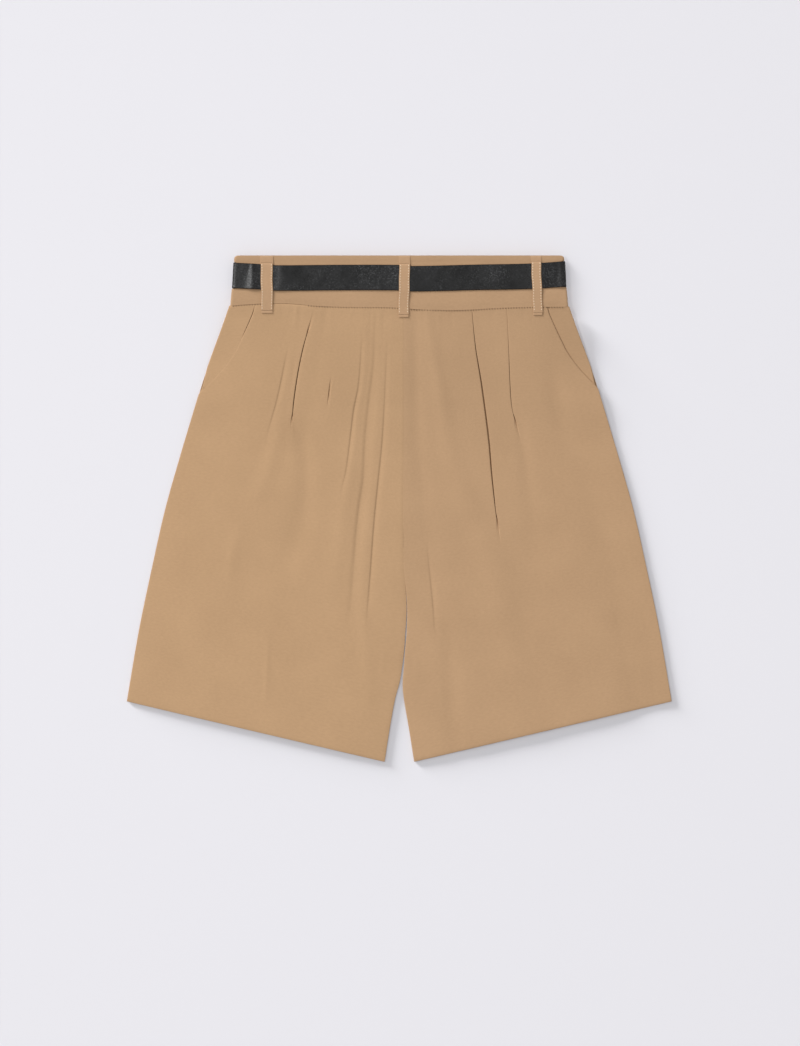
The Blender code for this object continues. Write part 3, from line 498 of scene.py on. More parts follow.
rightLeg = {
    "side": "right", "sign": 1, "pocketShift": 0.0, "rim": 0.0, "cloth": rightTwillPaintedShade,
    "inner": {"drop": (0, 150, 253, 298, 325, 353, 377, 393, 423, 456),
              "across": (4, 4, 4.2, 7.6, 6.8, 4.5, 2.9, 4.3, 9.4, 14.6)},
    "folds": {
        "middleValley": makeFold((0, 40, 93, 140, 193, 250, 320, 456), (15, 15.5, 17, 19, 25, 31, 40, 60),
            (-0.2, -0.35, -0.45, -0.45, -0.35, -0.25, -0.1, 0), (6, 6, 7, 8, 9, 9, 10, 12)),
        "kneeRidge": makeFold((0, 38, 93, 150, 190, 233, 273, 313, 348, 400, 456),
            (28, 33, 42, 52, 66, 86, 97, 104, 114, 128, 142),
            (0.15, 0.5, 0.65, 0.6, 0.7, 0.85, 0.8, 0.7, 0.6, 0.3, 0.1),
            (6, 7, 8, 10, 13, 16, 16, 15, 15, 18, 20)),
        "sideValley": makeFold((60, 100, 150, 200, 260, 330, 390, 430),
            (150, 163, 180, 198, 215, 232, 242, 248), (0, -0.3, -0.5, -0.7, -0.8, -1.0, -0.8, -0.5),
            (10, 13, 17, 20, 22, 22, 20, 18)),
        "belowCrease": makeFold((300, 335, 380, 420, 456), (44, 50, 53, 55, 58), (0, -0.35, -0.5, -0.4, -0.3),
            (7, 8, 9, 9, 9)),
        "besidePleat": makeFold((100, 135, 190, 260), (118, 124, 131, 142), (0, -0.45, -0.35, 0),
            (5, 6, 8, 9)),
        "hipDip": makeFold((40, 75, 110, 150), (150, 155, 160, 168), (0, -0.4, -0.4, 0), (8, 9, 9, 9)),
        "shortCrease": makeFold((0, 120, 232, 248, 283, 298, 319, 335, 456),
            (22, 24, 27.5, 28.5, 32, 33.5, 35, 37, 48), (0, 0, 0, -0.16, -0.34, -0.34, -0.18, 0, 0),
            (0.9, 0.9, 0.9, 0.9, 0.9, 0.9, 1, 1, 1), crease=True),
    },
    "pleats": (
        makePleat((0, 18, 43, 62, 77, 114, 138, 163, 185, 197, 207, 217, 228, 242, 300, 456),
            (72.5, 73.9, 76.6, 79.8, 82.3, 87.4, 90.2, 92.2, 94.4, 95.7, 96.8, 98.0, 99.5, 102, 116, 150),
            (9, 8.6, 8, 7.4, 7, 5.5, 4.4, 3.4, 2.2, 1.5, 1, 0.8, 0.8, 0.8, 0.8, 0.8),
            (0.05, 0.35, 0.75, 1.1, 1.4, 1.6, 1.55, 1.35, 1.0, 0.7, 0.4, 0.3, 0.2, 0.2, 0.2, 0.2),
            (180, 180, 180, 180, 180, 180, 180, 180, 180, 165, 110, 55, 22, 0, 0, 0)),
        makePleat((0, 20, 43, 73, 92, 102, 110, 119, 130, 145, 190, 250, 300, 456),
            (107.3, 108.4, 109.4, 110.6, 111.7, 113, 114.8, 116.8, 120, 124.3, 138, 157, 172, 205),
            (7, 6.4, 5.5, 3.8, 2.4, 1.8, 1.2, 0.8, 0.8, 0.8, 0.8, 0.8, 0.8, 0.8),
            (0.02, 0.1, 0.3, 0.5, 0.5, 0.35, 0.2, 0.2, 0.2, 0.2, 0.2, 0.2, 0.2, 0.2),
            (180, 180, 180, 180, 180, 150, 95, 45, 15, 0, 0, 0, 0, 0)),
    ),
    "hip": {"drop": (0, 5, 20, 60, 80, 95), "under": (0.1, 0.5, 0.9, 1.0, 0.9, 0.7), "wide": 1.6,
            "from": (0.05,) * 6, "fold": (0.36,) * 6},
    # place, width, height and length of the small puckers under the seam
    "puckers": ((24, 2.2, -0.12, 30), (39, 2.6, 0.14, 45), (52, 2.0, -0.1, 26), (92, 2.2, -0.1, 30),
                (99, 2.0, 0.1, 24), (124, 2.4, -0.12, 26), (138, 2.6, 0.1, 22)),
    "clusters": ("shortCrease",),
    "columns": (16, 38, 20, 34),
}
leftLeg = {
    "side": "left", "sign": -1, "pocketShift": -3.5, "rim": 0.12, "cloth": tanTwill,
    "inner": {"drop": (0, 150, 253, 298, 325, 353, 373, 393, 423, 456),
              "across": (-4, -4, -4.2, -7.6, -6.8, -4.5, -1.5, 3.8, 9.2, 14.3)},
    "folds": {
        "innerCrease": makeFold((0, 30, 56, 93, 133, 173, 213, 273, 304, 330, 456),
            (11.5, 12.3, 13.3, 14.9, 17.2, 21.2, 25.2, 29.7, 32.2, 34, 48),
            (0, 0, -0.16, -0.26, -0.38, -0.46, -0.48, -0.42, -0.16, 0, 0),
            (0.9, 0.9, 0.9, 0.9, 0.9, 0.9, 0.9, 0.9, 1, 1.2, 1.2), crease=True),
        "middleCrease": makeFold((0, 24, 58, 98, 133, 173, 201, 233, 293, 325, 456),
            (24, 25, 26.5, 31.5, 35, 37, 41.2, 44.5, 49.5, 54, 84),
            (0, -0.16, -0.34, -0.42, -0.52, -0.6, -0.66, -0.6, -0.3, 0, 0),
            (1.8, 1.8, 2.0, 2.2, 2.3, 2.4, 2.4, 2.6, 3, 3.2, 3.2), crease=True),
        "outerCrease": makeFold((0, 25, 38, 78, 103, 124, 163, 183, 205, 260, 456),
            (36.5, 37.6, 38, 41, 45.8, 48.4, 53.4, 58, 61.5, 72, 113),
            (0, 0, -0.14, -0.36, -0.46, -0.46, -0.32, -0.1, 0, 0, 0),
            (0.9, 0.9, 0.9, 0.9, 0.9, 0.9, 1, 1, 1, 1, 1), crease=True),
        "hipCrease": makeFold((0, 30, 50, 63, 93, 123, 140, 200, 304, 456),
            (104, 109, 113.5, 116, 122.5, 131, 135, 151, 181, 229),
            (0, 0, -0.12, -0.3, -0.32, -0.12, 0, 0, 0, 0), (0.9, 0.9, 0.9, 0.9, 0.9, 1, 1, 1, 1, 1),
            crease=True),
        "besidePleat": makeFold((50, 58, 68, 80, 90), (106, 106.5, 107.5, 109, 110),
            (0, -0.12, -0.14, -0.08, 0), (0.8, 0.8, 0.8, 0.8, 0.8), crease=True),
        "pleatEnd": makeFold((96, 106, 116, 133, 150), (105.5, 106.3, 106, 103.5, 101),
            (0, -0.22, -0.3, -0.2, 0), (0.8, 1.0, 1.4, 2.4, 3), crease=True),
        "innerRidge": makeFold((20, 60, 133, 200, 260, 300, 340, 385, 420),
            (17, 19, 24.5, 30, 36, 36, 33, 30.5, 30), (0, 0.12, 0.2, 0.24, 0.3, 0.35, 0.35, 0.25, 0),
            (4, 5, 5.5, 6, 7, 7, 7, 7, 7)),
        "outerRidge": makeFold((120, 170, 213, 253, 300), (46, 51, 56, 61, 67), (0, 0.25, 0.35, 0.25, 0),
            (6, 7, 8, 9, 10)),
        "hipRidge": makeFold((100, 125, 148, 175, 200), (115, 121, 127, 135, 142), (0, 0.3, 0.5, 0.4, 0),
            (6, 7, 8, 9, 9)),
        "thighRidge": makeFold((215, 248, 285), (160, 167, 172), (0, 0.35, 0), (6, 7, 8)),
        "hemRidge": makeFold((315, 345, 385, 400), (131, 132, 133, 134), (0, 0.2, 0.2, 0), (3, 3, 3, 3)),
        "belowPleat": makeFold((100, 135, 190, 255), (98, 95, 93, 98), (0, -0.55, -0.55, 0), (6, 7, 9, 11)),
        "thighDip": makeFold((200, 240, 280), (104, 107, 112), (0, -0.6, 0), (12, 14, 14)),
        "waistFold": makeFold((0, 30, 80, 130), (76, 78, 84, 90), (-0.15, -0.2, -0.15, 0), (6, 6, 7, 7)),
    },
    "pleats": (
        makePleat((0, 33, 62, 73, 80, 88, 94, 99, 105, 112, 150, 200, 258, 304, 456),
            (62.4, 63.9, 65.9, 67.6, 68.9, 69.8, 70.4, 71, 72, 74, 86, 98, 112, 122, 150),
            (0.8, 0.8, 0.8, 0.8, 1, 1, 0.9, 0.8, 0.8, 0.8, 0.8, 0.8, 0.8, 0.8, 0.8),
            (0.02, 0.02, 0.02, 0.02, 0.12, 0.12, 0.05, 0.02, 0.02, 0.02, 0.02, 0.02, 0.02, 0.02, 0.02),
            (0, 0, 0, 8, 45, 50, 22, 4, 0, 0, 0, 0, 0, 0, 0)),
        makePleat((0, 13, 24, 36, 59, 83, 98, 105, 110, 115, 121, 130, 200, 258, 304, 456),
            (84.5, 87.2, 90.8, 94.6, 99.9, 103.9, 105.8, 106.4, 106.8, 107.1, 107.4, 108.6, 132, 150,
             162, 198),
            (0.8, 0.8, 1.2, 3, 4, 3.2, 2.2, 1.2, 0.8, 0.8, 0.8, 0.8, 0.8, 0.8, 0.8, 0.8),
            (0.05, 0.05, 0.25, 0.7, 0.95, 1.0, 0.85, 0.5, 0.15, 0.1, 0.1, 0.1, 0.1, 0.1, 0.1, 0.1),
            (0, 18, 70, 165, 180, 180, 170, 130, 70, 25, 5, 0, 0, 0, 0, 0)),
    ),
    "hip": {"drop": (0, 6, 14, 26, 34, 95), "under": (0.0, 0.05, 0.1, 0.03, -0.02, -0.02), "wide": 0.2,
            "from": (-0.4, -0.1, 0.05, -0.1, -0.6, -0.6), "fold": (0.13, 0.16, 0.18, 0.14, 0.1, 0.1)},
    "puckers": ((18, 2.4, 0.12, 34), (33, 2.4, -0.12, 26), (48, 2.2, 0.1, 24), (72, 2.2, -0.14, 40),
                (78, 2.0, 0.14, 36), (98, 1.8, -0.14, 34), (102.5, 1.6, 0.14, 30), (116, 2.4, -0.12, 24),
                (132, 2.6, 0.12, 30)),
    "clusters": ("innerCrease", "middleCrease", "outerCrease", "hipCrease"),
    "columns": (7, 5, 6, 10, 10, 6, 30),
}
clusterPlaces = np.array((-4.0, -2.6, -1.7, -1.1, -0.6, -0.2, 0.2, 0.6, 1.1, 1.7, 2.6, 4.0))
# a pleat's slit from its hidden side to its far rim, as shares of its width and of its depth
slitFolded = np.array(((0, 0.3, 0.6, 0.9, 1.15, 1.2, 1.12, 1.04, 1.0),
                       (1, 1, 1, 1, 0.88, 0.6, 0.34, 0.12, 0.03)))
slitOpened = np.array(((0, 0.12, 0.25, 0.38, 0.5, 0.62, 0.75, 0.87, 1.0),
                       (1, 0.97, 0.88, 0.7, 0.5, 0.3, 0.12, 0.03, 0)))
slitPast = np.array((0.1, 0.4))


def hemDrop(across):
    (outAcross, outDrop), (inAcross, inDrop) = garment["hemOuter"], garment["hemInner"]
    return inDrop + (outDrop - inDrop) * (across - inAcross) / (outAcross - inAcross)


def rowDrop(leg, share, across, gap=None):
    start = seamDrop(leg["sign"] * across) + (legSettings["seamGap"] if gap is None else gap)
    return start + share * (hemDrop(across) - start)


def crossing(leg, share, line):
    # where a line that is given by its drop crosses a row of the leg
    across = line(share * garment["hemInner"][1])
    for _ in range(10):
        across = line(rowDrop(leg, share, across))
    return float(across)


def sideEdge(drop):
    return smooth(sideLine["drop"], sideLine["across"], drop)


def pocketEdge(leg, drop):
    return smooth(pocketLine["drop"], pocketLine["across"], drop) + leg["pocketShift"]


def innerEdge(leg, drop):
    line, gap = leg["inner"], legSettings["gap"]
    return smooth(line["drop"], line["across"], drop) + np.interp(drop, gap["drop"], gap["half"])


def pocketShare(drop):
    # 1 where the front ends at the pocket opening, 0 where it ends at the side seam
    return 1 - ease((drop - pocketLine["ends"] + pocketLine["fadeBefore"]) / pocketLine["fadeOver"])


def frontEdge(leg, drop):
    side = sideEdge(drop) - garment["cloth"] / 2
    return np.where(drop < pocketLine["ends"] + 6, np.minimum(side, pocketEdge(leg, drop)), side)


def foldAt(fold, drop):
    return [smooth(fold["drop"], fold[part], drop) for part in ("across", "height", "wide")]


def foldHeights(leg, across, drop):
    s = legSettings
    total = np.zeros_like(across)
    for fold in leg["folds"].values():
        line, height, wide = foldAt(fold, drop)
        t = (across - line) / wide
        if fold["crease"]:  # steep on one side and gentle on the other
            t = leg["sign"] * t - s["creaseShift"]
            t = np.where(t < 0, t, t / s["creaseGentle"])
        total += height * np.exp(-t * t)
    below = drop - seamDrop(leg["sign"] * across)
    for place, wide, height, long in leg["puckers"]:
        form = np.exp(-((across - place - s["puckerLean"] * below) / wide) ** 2)
        total += height * form * (1 - ease(below / long)) * ease(below / 4)
    return total * s["relief"]


def clothLevel(leg, across, drop):
    across, drop = np.asarray(across, float), np.asarray(drop, float)
    s = legSettings
    edge = s["facingLift"] * (1 - ease((drop - s["facingEnd"]) / s["facingFade"]))
    full = np.maximum(s["puffWaist"] + (s["puff"] - s["puffWaist"]) * ease(drop / s["puffGrows"]), edge)
    fromSide = sideEdge(drop) - across
    side = softEdge(fromSide, s["sideSoft"])
    fromInner = across - innerEdge(leg, drop)
    settle = 1 - legOpen(drop) * (1 - softEdge(fromInner, s["innerSoft"]))
    folds = foldHeights(leg, across, drop) * softEdge(fromSide, s["foldSideSoft"])
    folds = folds * (1 - legOpen(drop) * (1 - softEdge(fromInner, s["foldInnerSoft"])))
    raised = backRise(drop) + (frontRise(drop) - backRise(drop)) * side
    atSeam = s["seamLift"] * np.exp(-((np.maximum(drop, 0) / s["seamLiftWide"]) ** 2))
    lift = (edge + (full - edge) * side) * settle + folds
    return raised + s["level"] + atSeam + np.maximum(lift, s["sinkMost"])


def seamRoll(x, fromSeam):
    # the cloth rolls down into the waist seam, most where no stitches show
    s = legSettings
    deep = s["seamDip"] * (s["seamDipLeast"] + (1 - s["seamDipLeast"]) * ease((s["stitchesFrom"] - x) / 8))
    return deep * np.exp(-(fromSeam / s["seamDipWide"]) ** 2)


def boxed(part):
    # a pressed fold is squarer than a circle
    return np.sign(part) * np.abs(part) ** 0.6


def pleatPath(leg, share, pleat, steps=5):
    # outwards on top, round the shown edge, back under it, round the hidden edge and up the slit
    s = legSettings
    anchor = crossing(leg, share, lambda d: smooth(pleat["drop"], pleat["across"], d))
    drop = rowDrop(leg, share, anchor)
    lap = float(smooth(pleat["drop"], pleat["lap"], drop))
    slit = max(float(smooth(pleat["drop"], pleat["slit"], drop)), 0.01)
    turn = float(np.clip(smooth(pleat["drop"], pleat["turn"], drop), 0, 180))
    angle, radius = math.radians(turn), s["pleatRadius"]
    rise = 2 * radius * (1 - math.cos(angle)) + lap * math.sin(angle) * 0.4
    start = anchor - slit / 2 - radius - s["clothAtSlit"] / 2
    if turn < 90:  # nearly open: a soft step with its middle on the line
        start = anchor - slit / 2 - radius * math.sin(angle) - lap * math.cos(angle)
    a = angle * np.arange(steps + 1) / steps
    x, z = start + radius * boxed(np.sin(a)), -radius * (1 - boxed(np.cos(a)))
    x0, z0 = x[-1] + lap * math.cos(angle), z[-1] - lap * math.sin(angle) * 0.4
    end = x0 + radius * math.sin(angle)
    x = np.concatenate([x, end - radius * boxed(np.sin(a[::-1]))])
    z = np.concatenate([z, z0 - radius * (boxed(np.cos(a[::-1])) - boxed(math.cos(angle)))])
    opened = anchor - slit / 2 + s["openPleat"] * np.linspace(-2, 0, len(x))
    folded = float(ease(turn / 90))
    x = opened + (x - opened) * folded
    z = clothLevel(leg, x, rowDrop(leg, share, x)) + z
    # past the edge the under layer climbs back to the top layer's level, across the slit
    slitStart = max(anchor - slit / 2 - 0.1 - s["clothAtSlit"] / 2 * folded, x[-1] + 0.25)
    slitWide = slit + 0.12 + s["clothAtSlit"] * folded + 1.4 * (1 - folded)
    form = slitOpened + (slitFolded - slitOpened) * folded
    places = np.concatenate([slitStart + slitWide * form[0], slitStart + slitWide + slitPast])
    deep = rise + s["slitDeep"] * folded
    return {"x": x, "z": z, "rise": rise, "end": slitStart + slitWide, "places": places, "deep": deep,
            "sunk": form[1], "folded": folded}


def between(first, last, count):
    # places spread evenly between two others
    return first + (last - first) * np.arange(1, count + 1) / (count + 1)


def frontRow(leg, share):
    # one row across the front, from the middle seam to the pocket opening or the side seam
    s = legSettings
    inner = crossing(leg, share, lambda d: innerEdge(leg, d) - s["seamOverlap"] * (1 - legOpen(d)))
    outer = crossing(leg, share, lambda d: frontEdge(leg, d))
    innerDrop, outerDrop = rowDrop(leg, share, inner), rowDrop(leg, share, outer)
    opened = float(legOpen(innerDrop))
    inPocket = float(pocketShare(outerDrop))
    innerRadius = float(np.interp(innerDrop, s["kneeRoll"]["drop"], s["kneeRoll"]["radius"]))
    pocketRadius = float(np.interp(outerDrop, leg["hip"]["drop"], leg["hip"]["fold"]))
    outerRadius = s["edgeRadius"] + (pocketRadius - s["edgeRadius"]) * inPocket
    outerTurn = math.radians(90 + 90 * inPocket)
    outerTail = 0.3 + 6.0 * inPocket
    pathA, pathB = (pleatPath(leg, share, pleat) for pleat in leg["pleats"])
    creases = [leg["folds"][name] for name in leg["clusters"]]
    lines = [crossing(leg, share, lambda d, f=fold: smooth(f["drop"], f["across"], d)) for fold in creases]
    counts = iter(leg["columns"])

    def spread(place, end, crossed):
        # columns between two places, gathered closely at each crease that is crossed
        runs = []
        for line in crossed:
            runs += [between(place, line + clusterPlaces[0], next(counts)), line + clusterPlaces]
            place = line + clusterPlaces[-1]
        return runs + [between(place, end, next(counts))]

    first, last = inner + innerRadius, outer - outerRadius
    startB, endA, endB = pathB["x"][0], pathA["places"][-1], pathB["places"][-1]
    before, after = [x for x in lines if x < pathA["x"][0]], [x for x in lines if x > endB]
    partA = np.concatenate([[first], *spread(first, pathA["x"][0], before)])
    fill = spread(endA, startB, ())[0]
    if startB - endA < 1:
        fill = endA + between(0, max(startB - endA, 0.05), len(fill))
    partB = np.concatenate([pathA["places"], fill])
    partC = np.concatenate([pathB["places"], *spread(endB, last, after), [last]])

    def height(across, under=None):
        z = clothLevel(leg, across, rowDrop(leg, share, across))
        if under:
            lower = under["rise"] + (under["deep"] - under["rise"]) * ease((across - under["x"][-1]) / 0.6)
            sunk = np.zeros(len(across))
            sunk[:len(under["sunk"])] = under["sunk"]
            past = np.maximum(across - under["end"], 0)
            z = z - lower * sunk + leg["rim"] * under["folded"] * (1 - sunk) * np.exp(-((past / 4.5) ** 2))
        return z

    x = np.concatenate([partA, pathA["x"], partB, pathB["x"], partC])
    z = np.concatenate([height(partA), pathA["z"], height(partB, pathA), pathB["z"], height(partC, pathB)])
    roll = np.radians(np.array((90, 70, 48, 25)))
    innerX = first - innerRadius * np.sin(roll)
    innerZ = z[0] - innerRadius * (1 - np.cos(roll))
    innerTail = 0.4 + 0.8 * (1 - opened)
    x = np.concatenate([[innerX[0]], innerX, x])
    z = np.concatenate([[innerZ[0] - innerTail], innerZ, z])
    roll = outerTurn * np.array((0.2, 0.4, 0.6, 0.8, 1.0))
    outX = last + outerRadius * np.sin(roll)
    outZ = z[-1] - outerRadius * (1 - np.cos(roll))
    tailX = outX[-1] + outerTail * math.cos(outerTurn) * np.array((0.15, 1.0))
    tailZ = outZ[-1] - outerTail * math.sin(outerTurn) * np.array((0.15, 1.0))
    x = np.concatenate([x, outX, tailX])
    z = np.concatenate([z, outZ, tailZ])
    y = seamY - rowDrop(leg, share, np.maximum(x, inner))
    fromSeam = seamY - seamDrop(leg["sign"] * x) - y
    return np.stack([leg["sign"] * x, y, z - seamRoll(leg["sign"] * x, fromSeam)], axis=1)


def turnHem(rows, radius, deep, rowStep):
    # folds the last rows under the leg, as the hem's allowance
    last = rows[-1]
    run = rows[-1] - rows[-2]
    run[:, 2] = 0
    run /= np.maximum(np.linalg.norm(run, axis=1, keepdims=True), 1e-6)
    turned = []
    for degrees in legSettings["hemRoll"]:
        a = math.radians(degrees)
        turned.append(last + run * radius * math.sin(a) - np.array((0, 0, radius * (1 - math.cos(a)))))
    for back in range(1, int(deep / rowStep) + 1, 2):
        turned.append(rows[-1 - back] - np.array((0, 0, 2 * radius)))
    return rows + turned


def sewPanel(leg, name, rows, material, node):
    points = np.array(rows)[::-1]
    piece = laySheet(name, points if leg["sign"] > 0 else points[:, ::-1])
    thicken(piece, garment["cloth"])
    dress(piece, material, node + leg["side"])
    return piece


def makeFront(leg):
    s = legSettings
    near = np.array((0.0, 0.0012, 0.0028, 0.005, 0.008))
    shares = np.concatenate([near, np.linspace(0.0125, 1.0, s["rows"])])
    rows = [frontRow(leg, share) for share in shares]
    rowStep = garment["hemOuter"][1] / s["rows"]
    rows = turnHem(rows, s["hemRadius"], s["hemDeep"], rowStep)
    return sewPanel(leg, "front" + leg["side"].title() + "Leg", rows, leg["cloth"], "front_")


def makeHipPiece(leg):
    # the piece that shows in the pocket opening, under the front
    s, hip = legSettings, leg["hip"]
    rows = []
    for drop in np.concatenate([(0, 0.6, 1.4, 2.4), np.linspace(3.6, s["facingEnd"], 44)]):
        hidden = float(ease((drop - s["facingEnd"] + 34) / 20))
        outer = float(sideEdge(drop)) - 0.25 - 1.6 * hidden
        edge = float(frontEdge(leg, drop))
        inner = min(edge - 14.0, outer - 14)
        near = edge + np.array((-0.9, -0.45, -0.3, -0.2, -0.17, 0.05, 0.25, 0.5, 0.8, 1.2, 1.8, 2.6))
        near = np.minimum(near, outer - 1.2 + 0.05 * np.arange(len(near)) - 0.5)
        across = np.concatenate([np.linspace(inner, near[0] - 0.4, 8), near,
                                 between(near[-1], outer - 1.0, 14), [outer - 0.55]])
        # how far below the front it lies beside the opening
        under = float(smooth(hip["drop"], hip["under"], drop))
        past = ease((across - edge - float(smooth(hip["drop"], hip["from"], drop))) / hip["wide"])
        z = clothLevel(leg, across, drop) - s["facingUnder"] + (s["facingUnder"] - under) * past
        roll = np.radians(np.array((30, 60, 90)))
        across = np.concatenate([across, outer - 0.5 + 0.5 * np.sin(roll), [outer]])
        z = np.concatenate([z, z[-1] - 0.5 * (1 - np.cos(roll)), [z[-1] - 1.6]])
        seam = seamDrop(leg["sign"] * across) + s["seamGap"]
        start = seam + drop * (1 - seam / s["facingEnd"])
        x = leg["sign"] * across
        rows.append(np.stack([x, seamY - start, z - seamRoll(x, start - seam)], axis=1))
    return sewPanel(leg, "hipPiece" + leg["side"].title(), rows, leg["cloth"], "pocket_facing_")


# the back's creases stand up from the floor, which presses the rest of it flat
backFolds = {
    "right": (
        makeFold((12, 70, 150, 235), (22, 27, 38, 56), (0, 0.4, 0.45, 0), (3, 3.5, 5, 7)),
        makeFold((60, 130, 220, 320), (92, 104, 128, 160), (0, 0.3, 0.4, 0), (4, 5, 7, 9)),
        makeFold((235, 290, 360, 415), (30, 46, 60, 68), (0, 0.5, 0.35, 0), (4, 6, 7, 8)),
        makeFold((180, 250, 330), (205, 214, 222), (0, 0.35, 0), (5, 7, 8)),
    ),
    "left": (
        makeFold((10, 60, 120, 200), (30, 36, 44, 60), (0, 0.45, 0.35, 0), (3, 4, 5, 7)),
        makeFold((90, 170, 260, 340), (70, 88, 112, 140), (0, 0.4, 0.45, 0), (4, 6, 8, 9)),
        makeFold((240, 300, 380), (24, 38, 48), (0, 0.45, 0), (4, 6, 8)),
        makeFold((140, 200, 280), (176, 190, 204), (0, 0.3, 0), (5, 6, 8)),
    ),
}


def makeBack(leg):
    s, half = legSettings, garment["cloth"] / 2
    rows = []
    upperRows, lowerRows = s["backRows"]
    for share in np.concatenate([np.linspace(0, 0.18, upperRows), np.linspace(0.2, 1.0, lowerRows)]):
        inner = crossing(leg, share, lambda d: innerEdge(leg, d) + 0.1)
        outer = crossing(leg, share, lambda d: sideEdge(d) - 0.35)
        across = np.concatenate([[inner, inner + 0.05, inner + 0.3],
                                 np.linspace(inner + 0.8, outer - 0.8, s["backColumns"]),
                                 [outer - 0.3, outer - 0.05, outer]])
        drop = rowDrop(leg, share, across, 0.3)
        lift = np.zeros_like(across)
        lift[:3], lift[-3:] = s["curl"], s["curl"][::-1]
        for fold in backFolds[leg["side"]]:
            line, height, wide = foldAt(fold, drop)
            lift += height * np.exp(-(((across - line) / wide) ** 2))
        rows.append(np.stack([leg["sign"] * across, seamY - drop, backRise(drop) + half + lift], axis=1))
    return sewPanel(leg, "back" + leg["side"].title() + "Leg", rows, tanTwill, "back_")


fronts, hipPieces, backs = {}, {}, {}
for leg in (leftLeg, rightLeg):
    fronts[leg["side"]] = makeFront(leg)
    hipPieces[leg["side"]] = makeHipPiece(leg)
    backs[leg["side"]] = makeBack(leg)
print("legs sewn")


# Waistband

band = {
    "frontThick": 2.4, "backThick": 1.6, "endRound": 2.2, "endThin": 1.2, "cornerRound": 3.0, "rimRound": 0.3,
    "half": 168.7, "narrower": 4.2,  # half its width at the seam, and how much less it is at the top
    "halfUnderBelt": 163.6, "leftBelted": (219.6, 245.8), "rightBelted": (221.2, 247.2),
    "besideBelt": 0.3, "pressed": (216.0, 246.0, 4.5),  # it lies higher where no belt presses it
}


def bandEdge(y, belted=band["leftBelted"]):
    # half the band's width at a height, drawn in a little between the belt's edges
    up = (y - seamY) / garment["bandDeep"]
    corner = 1 - roundEdge(garment["waistY"] - y, band["cornerRound"])
    free = band["half"] - band["narrower"] * up - band["cornerRound"] * corner
    underBelt = ease((y - belted[0]) / 0.9) * (1 - ease((y - belted[1]) / 0.9))
    return free + (band["halfUnderBelt"] - free) * underBelt


def makeBand(name, node, front, xFrom=None, xTo=None):
    thick = band["frontThick"] if front else band["backThick"]
    middle = garment["bandTop"] - thick / 2 if front else garment["bandUnderside"] + thick / 2
    near = np.array((0, 0.4, 0.8, 1.1, 1.5, 2.2))  # rows close together at the rims and beside the belt
    drops = np.concatenate([garment["bandDeep"] - near, near, 17.6 + near * 0.5,
                            *(place + near * 0.6 for place in (19.0, 43.6, 45.0)),
                            np.linspace(3, 16.5, 10), np.linspace(21.5, 43, 11)])
    ups = np.unique(np.round(drops, 2)) / garment["bandDeep"]
    rows, halves = [], []
    for up in ups:
        y = seamY + up * garment["bandDeep"]
        # the belt lies higher at the right
        left, right = float(bandEdge(y)), float(bandEdge(y, band["rightBelted"]))
        start = -left if xFrom is None else xFrom
        end = right if xTo is None else xTo
        x = start + (end - start) * (0.5 - 0.5 * np.cos(np.pi * np.arange(121) / 120))
        yLine = y - seamDrop(x) * (1 - ease(up / 0.3))
        rounded = roundEdge(np.where(x < 0, left, right) - np.abs(x), band["endRound"])
        lift = -band["endThin"] / 2 * (1 - rounded) * (1 if front else -1)
        if front:
            low, high, soft = band["pressed"]
            under = ease((y - low) / soft) * (1 - ease((y - high) / soft))
            lift = lift + band["besideBelt"] * (1 - under) * ease(up / 0.12) + frontRipple(x, y)
        rows.append(np.stack([x, yLine, middle + lift], axis=1))
        halves.append(thick / 2 - band["endThin"] / 2 * (1 - rounded))
    points, halves = np.array(rows), np.array(halves)
    offset = np.zeros_like(points)
    offset[..., 2] = halves
    piece = closeFaces(name, points + offset, points - offset)
    roundOff(piece, band["rimRound"], 50)
    shadeSmooth(piece, 60)
    dress(piece, bandTwillPaintedShade, node)
    return piece


def frontRipple(x, y):
    # the band is a little uneven along its length, and even at its seam and its ends
    along = 0.05 * np.sin(x / 6.1 + 1.3) + 0.06 * np.sin(x / 10.3 + y / 17.0) + 0.05 * np.sin(x / 17.9 - 0.6)
    return along * ease((y - seamY) / 6) * ease((169 - np.abs(x)) / 18)


bandFront = makeBand("waistbandFront", "waistband_front", True)
bandBackLeft = makeBand("waistbandBackLeft", "waistband_back_left", False, xTo=-0.15)
bandBackRight = makeBand("waistbandBackRight", "waistband_back_right", False, xFrom=0.15)
print("waistband made")


# Belt

belt = {
    "wide": 25.4, "thick": 1.5, "frontThick": 1.2, "front": 10.55, "back": 3.45, "backY": 231.5,
    "line": {"x": (-166, -138, -126, -60, 0, 12, 80, 130, 166),
             "y": (233.1, 231.6, 230.5, 230.9, 230.8, 229.7, 231.2, 232.2, 234.5)},
    "lifts": ((40, 30, 0.12), (-70, 25, 0.1)),  # place, width, height
    # place, height, width, and how much more below
    "swells": ((-146.3, 0.9, 3.4, 0.42), (-117.0, 0.5, 5.5, 0.4), (162.0, 0.6, 2.9, 0.2)),
    "side": 165.7, "bend": 2.35, "upperBend": 1.4, "skived": 0.8, "lean": 0.65,
    "hingeX": -8.0, "hingeWide": 3.0, "hingeThick": 1.2, "hingeLevel": 3.5,
    "farBarX": 22.0, "overFarBar": 4.45, "keeperX": -34.0, "tipX": -86.0, "tipLong": 13.0, "tipTaper": 9.0,
    "tongue": ((12, 3.6), (4, 1.9), (-2, 0.95), (-6, 0.76), (-14, 0.76), (-24, 1.45)),
    "slots": ((-12.7, -4.0, 1.62, 6.0), (-3.2, 10.5, -2.0, 6.0)),
    "slotWide": 4.2,
    "edgeThin": 0.28,  # how much of its half thickness the strap loses at its rims
    "painted": 0.948,  # from this share of its half width outwards the strap has its edge paint
}
beltMiddle = (belt["front"] + belt["back"]) / 2  # the level between its front and its back run


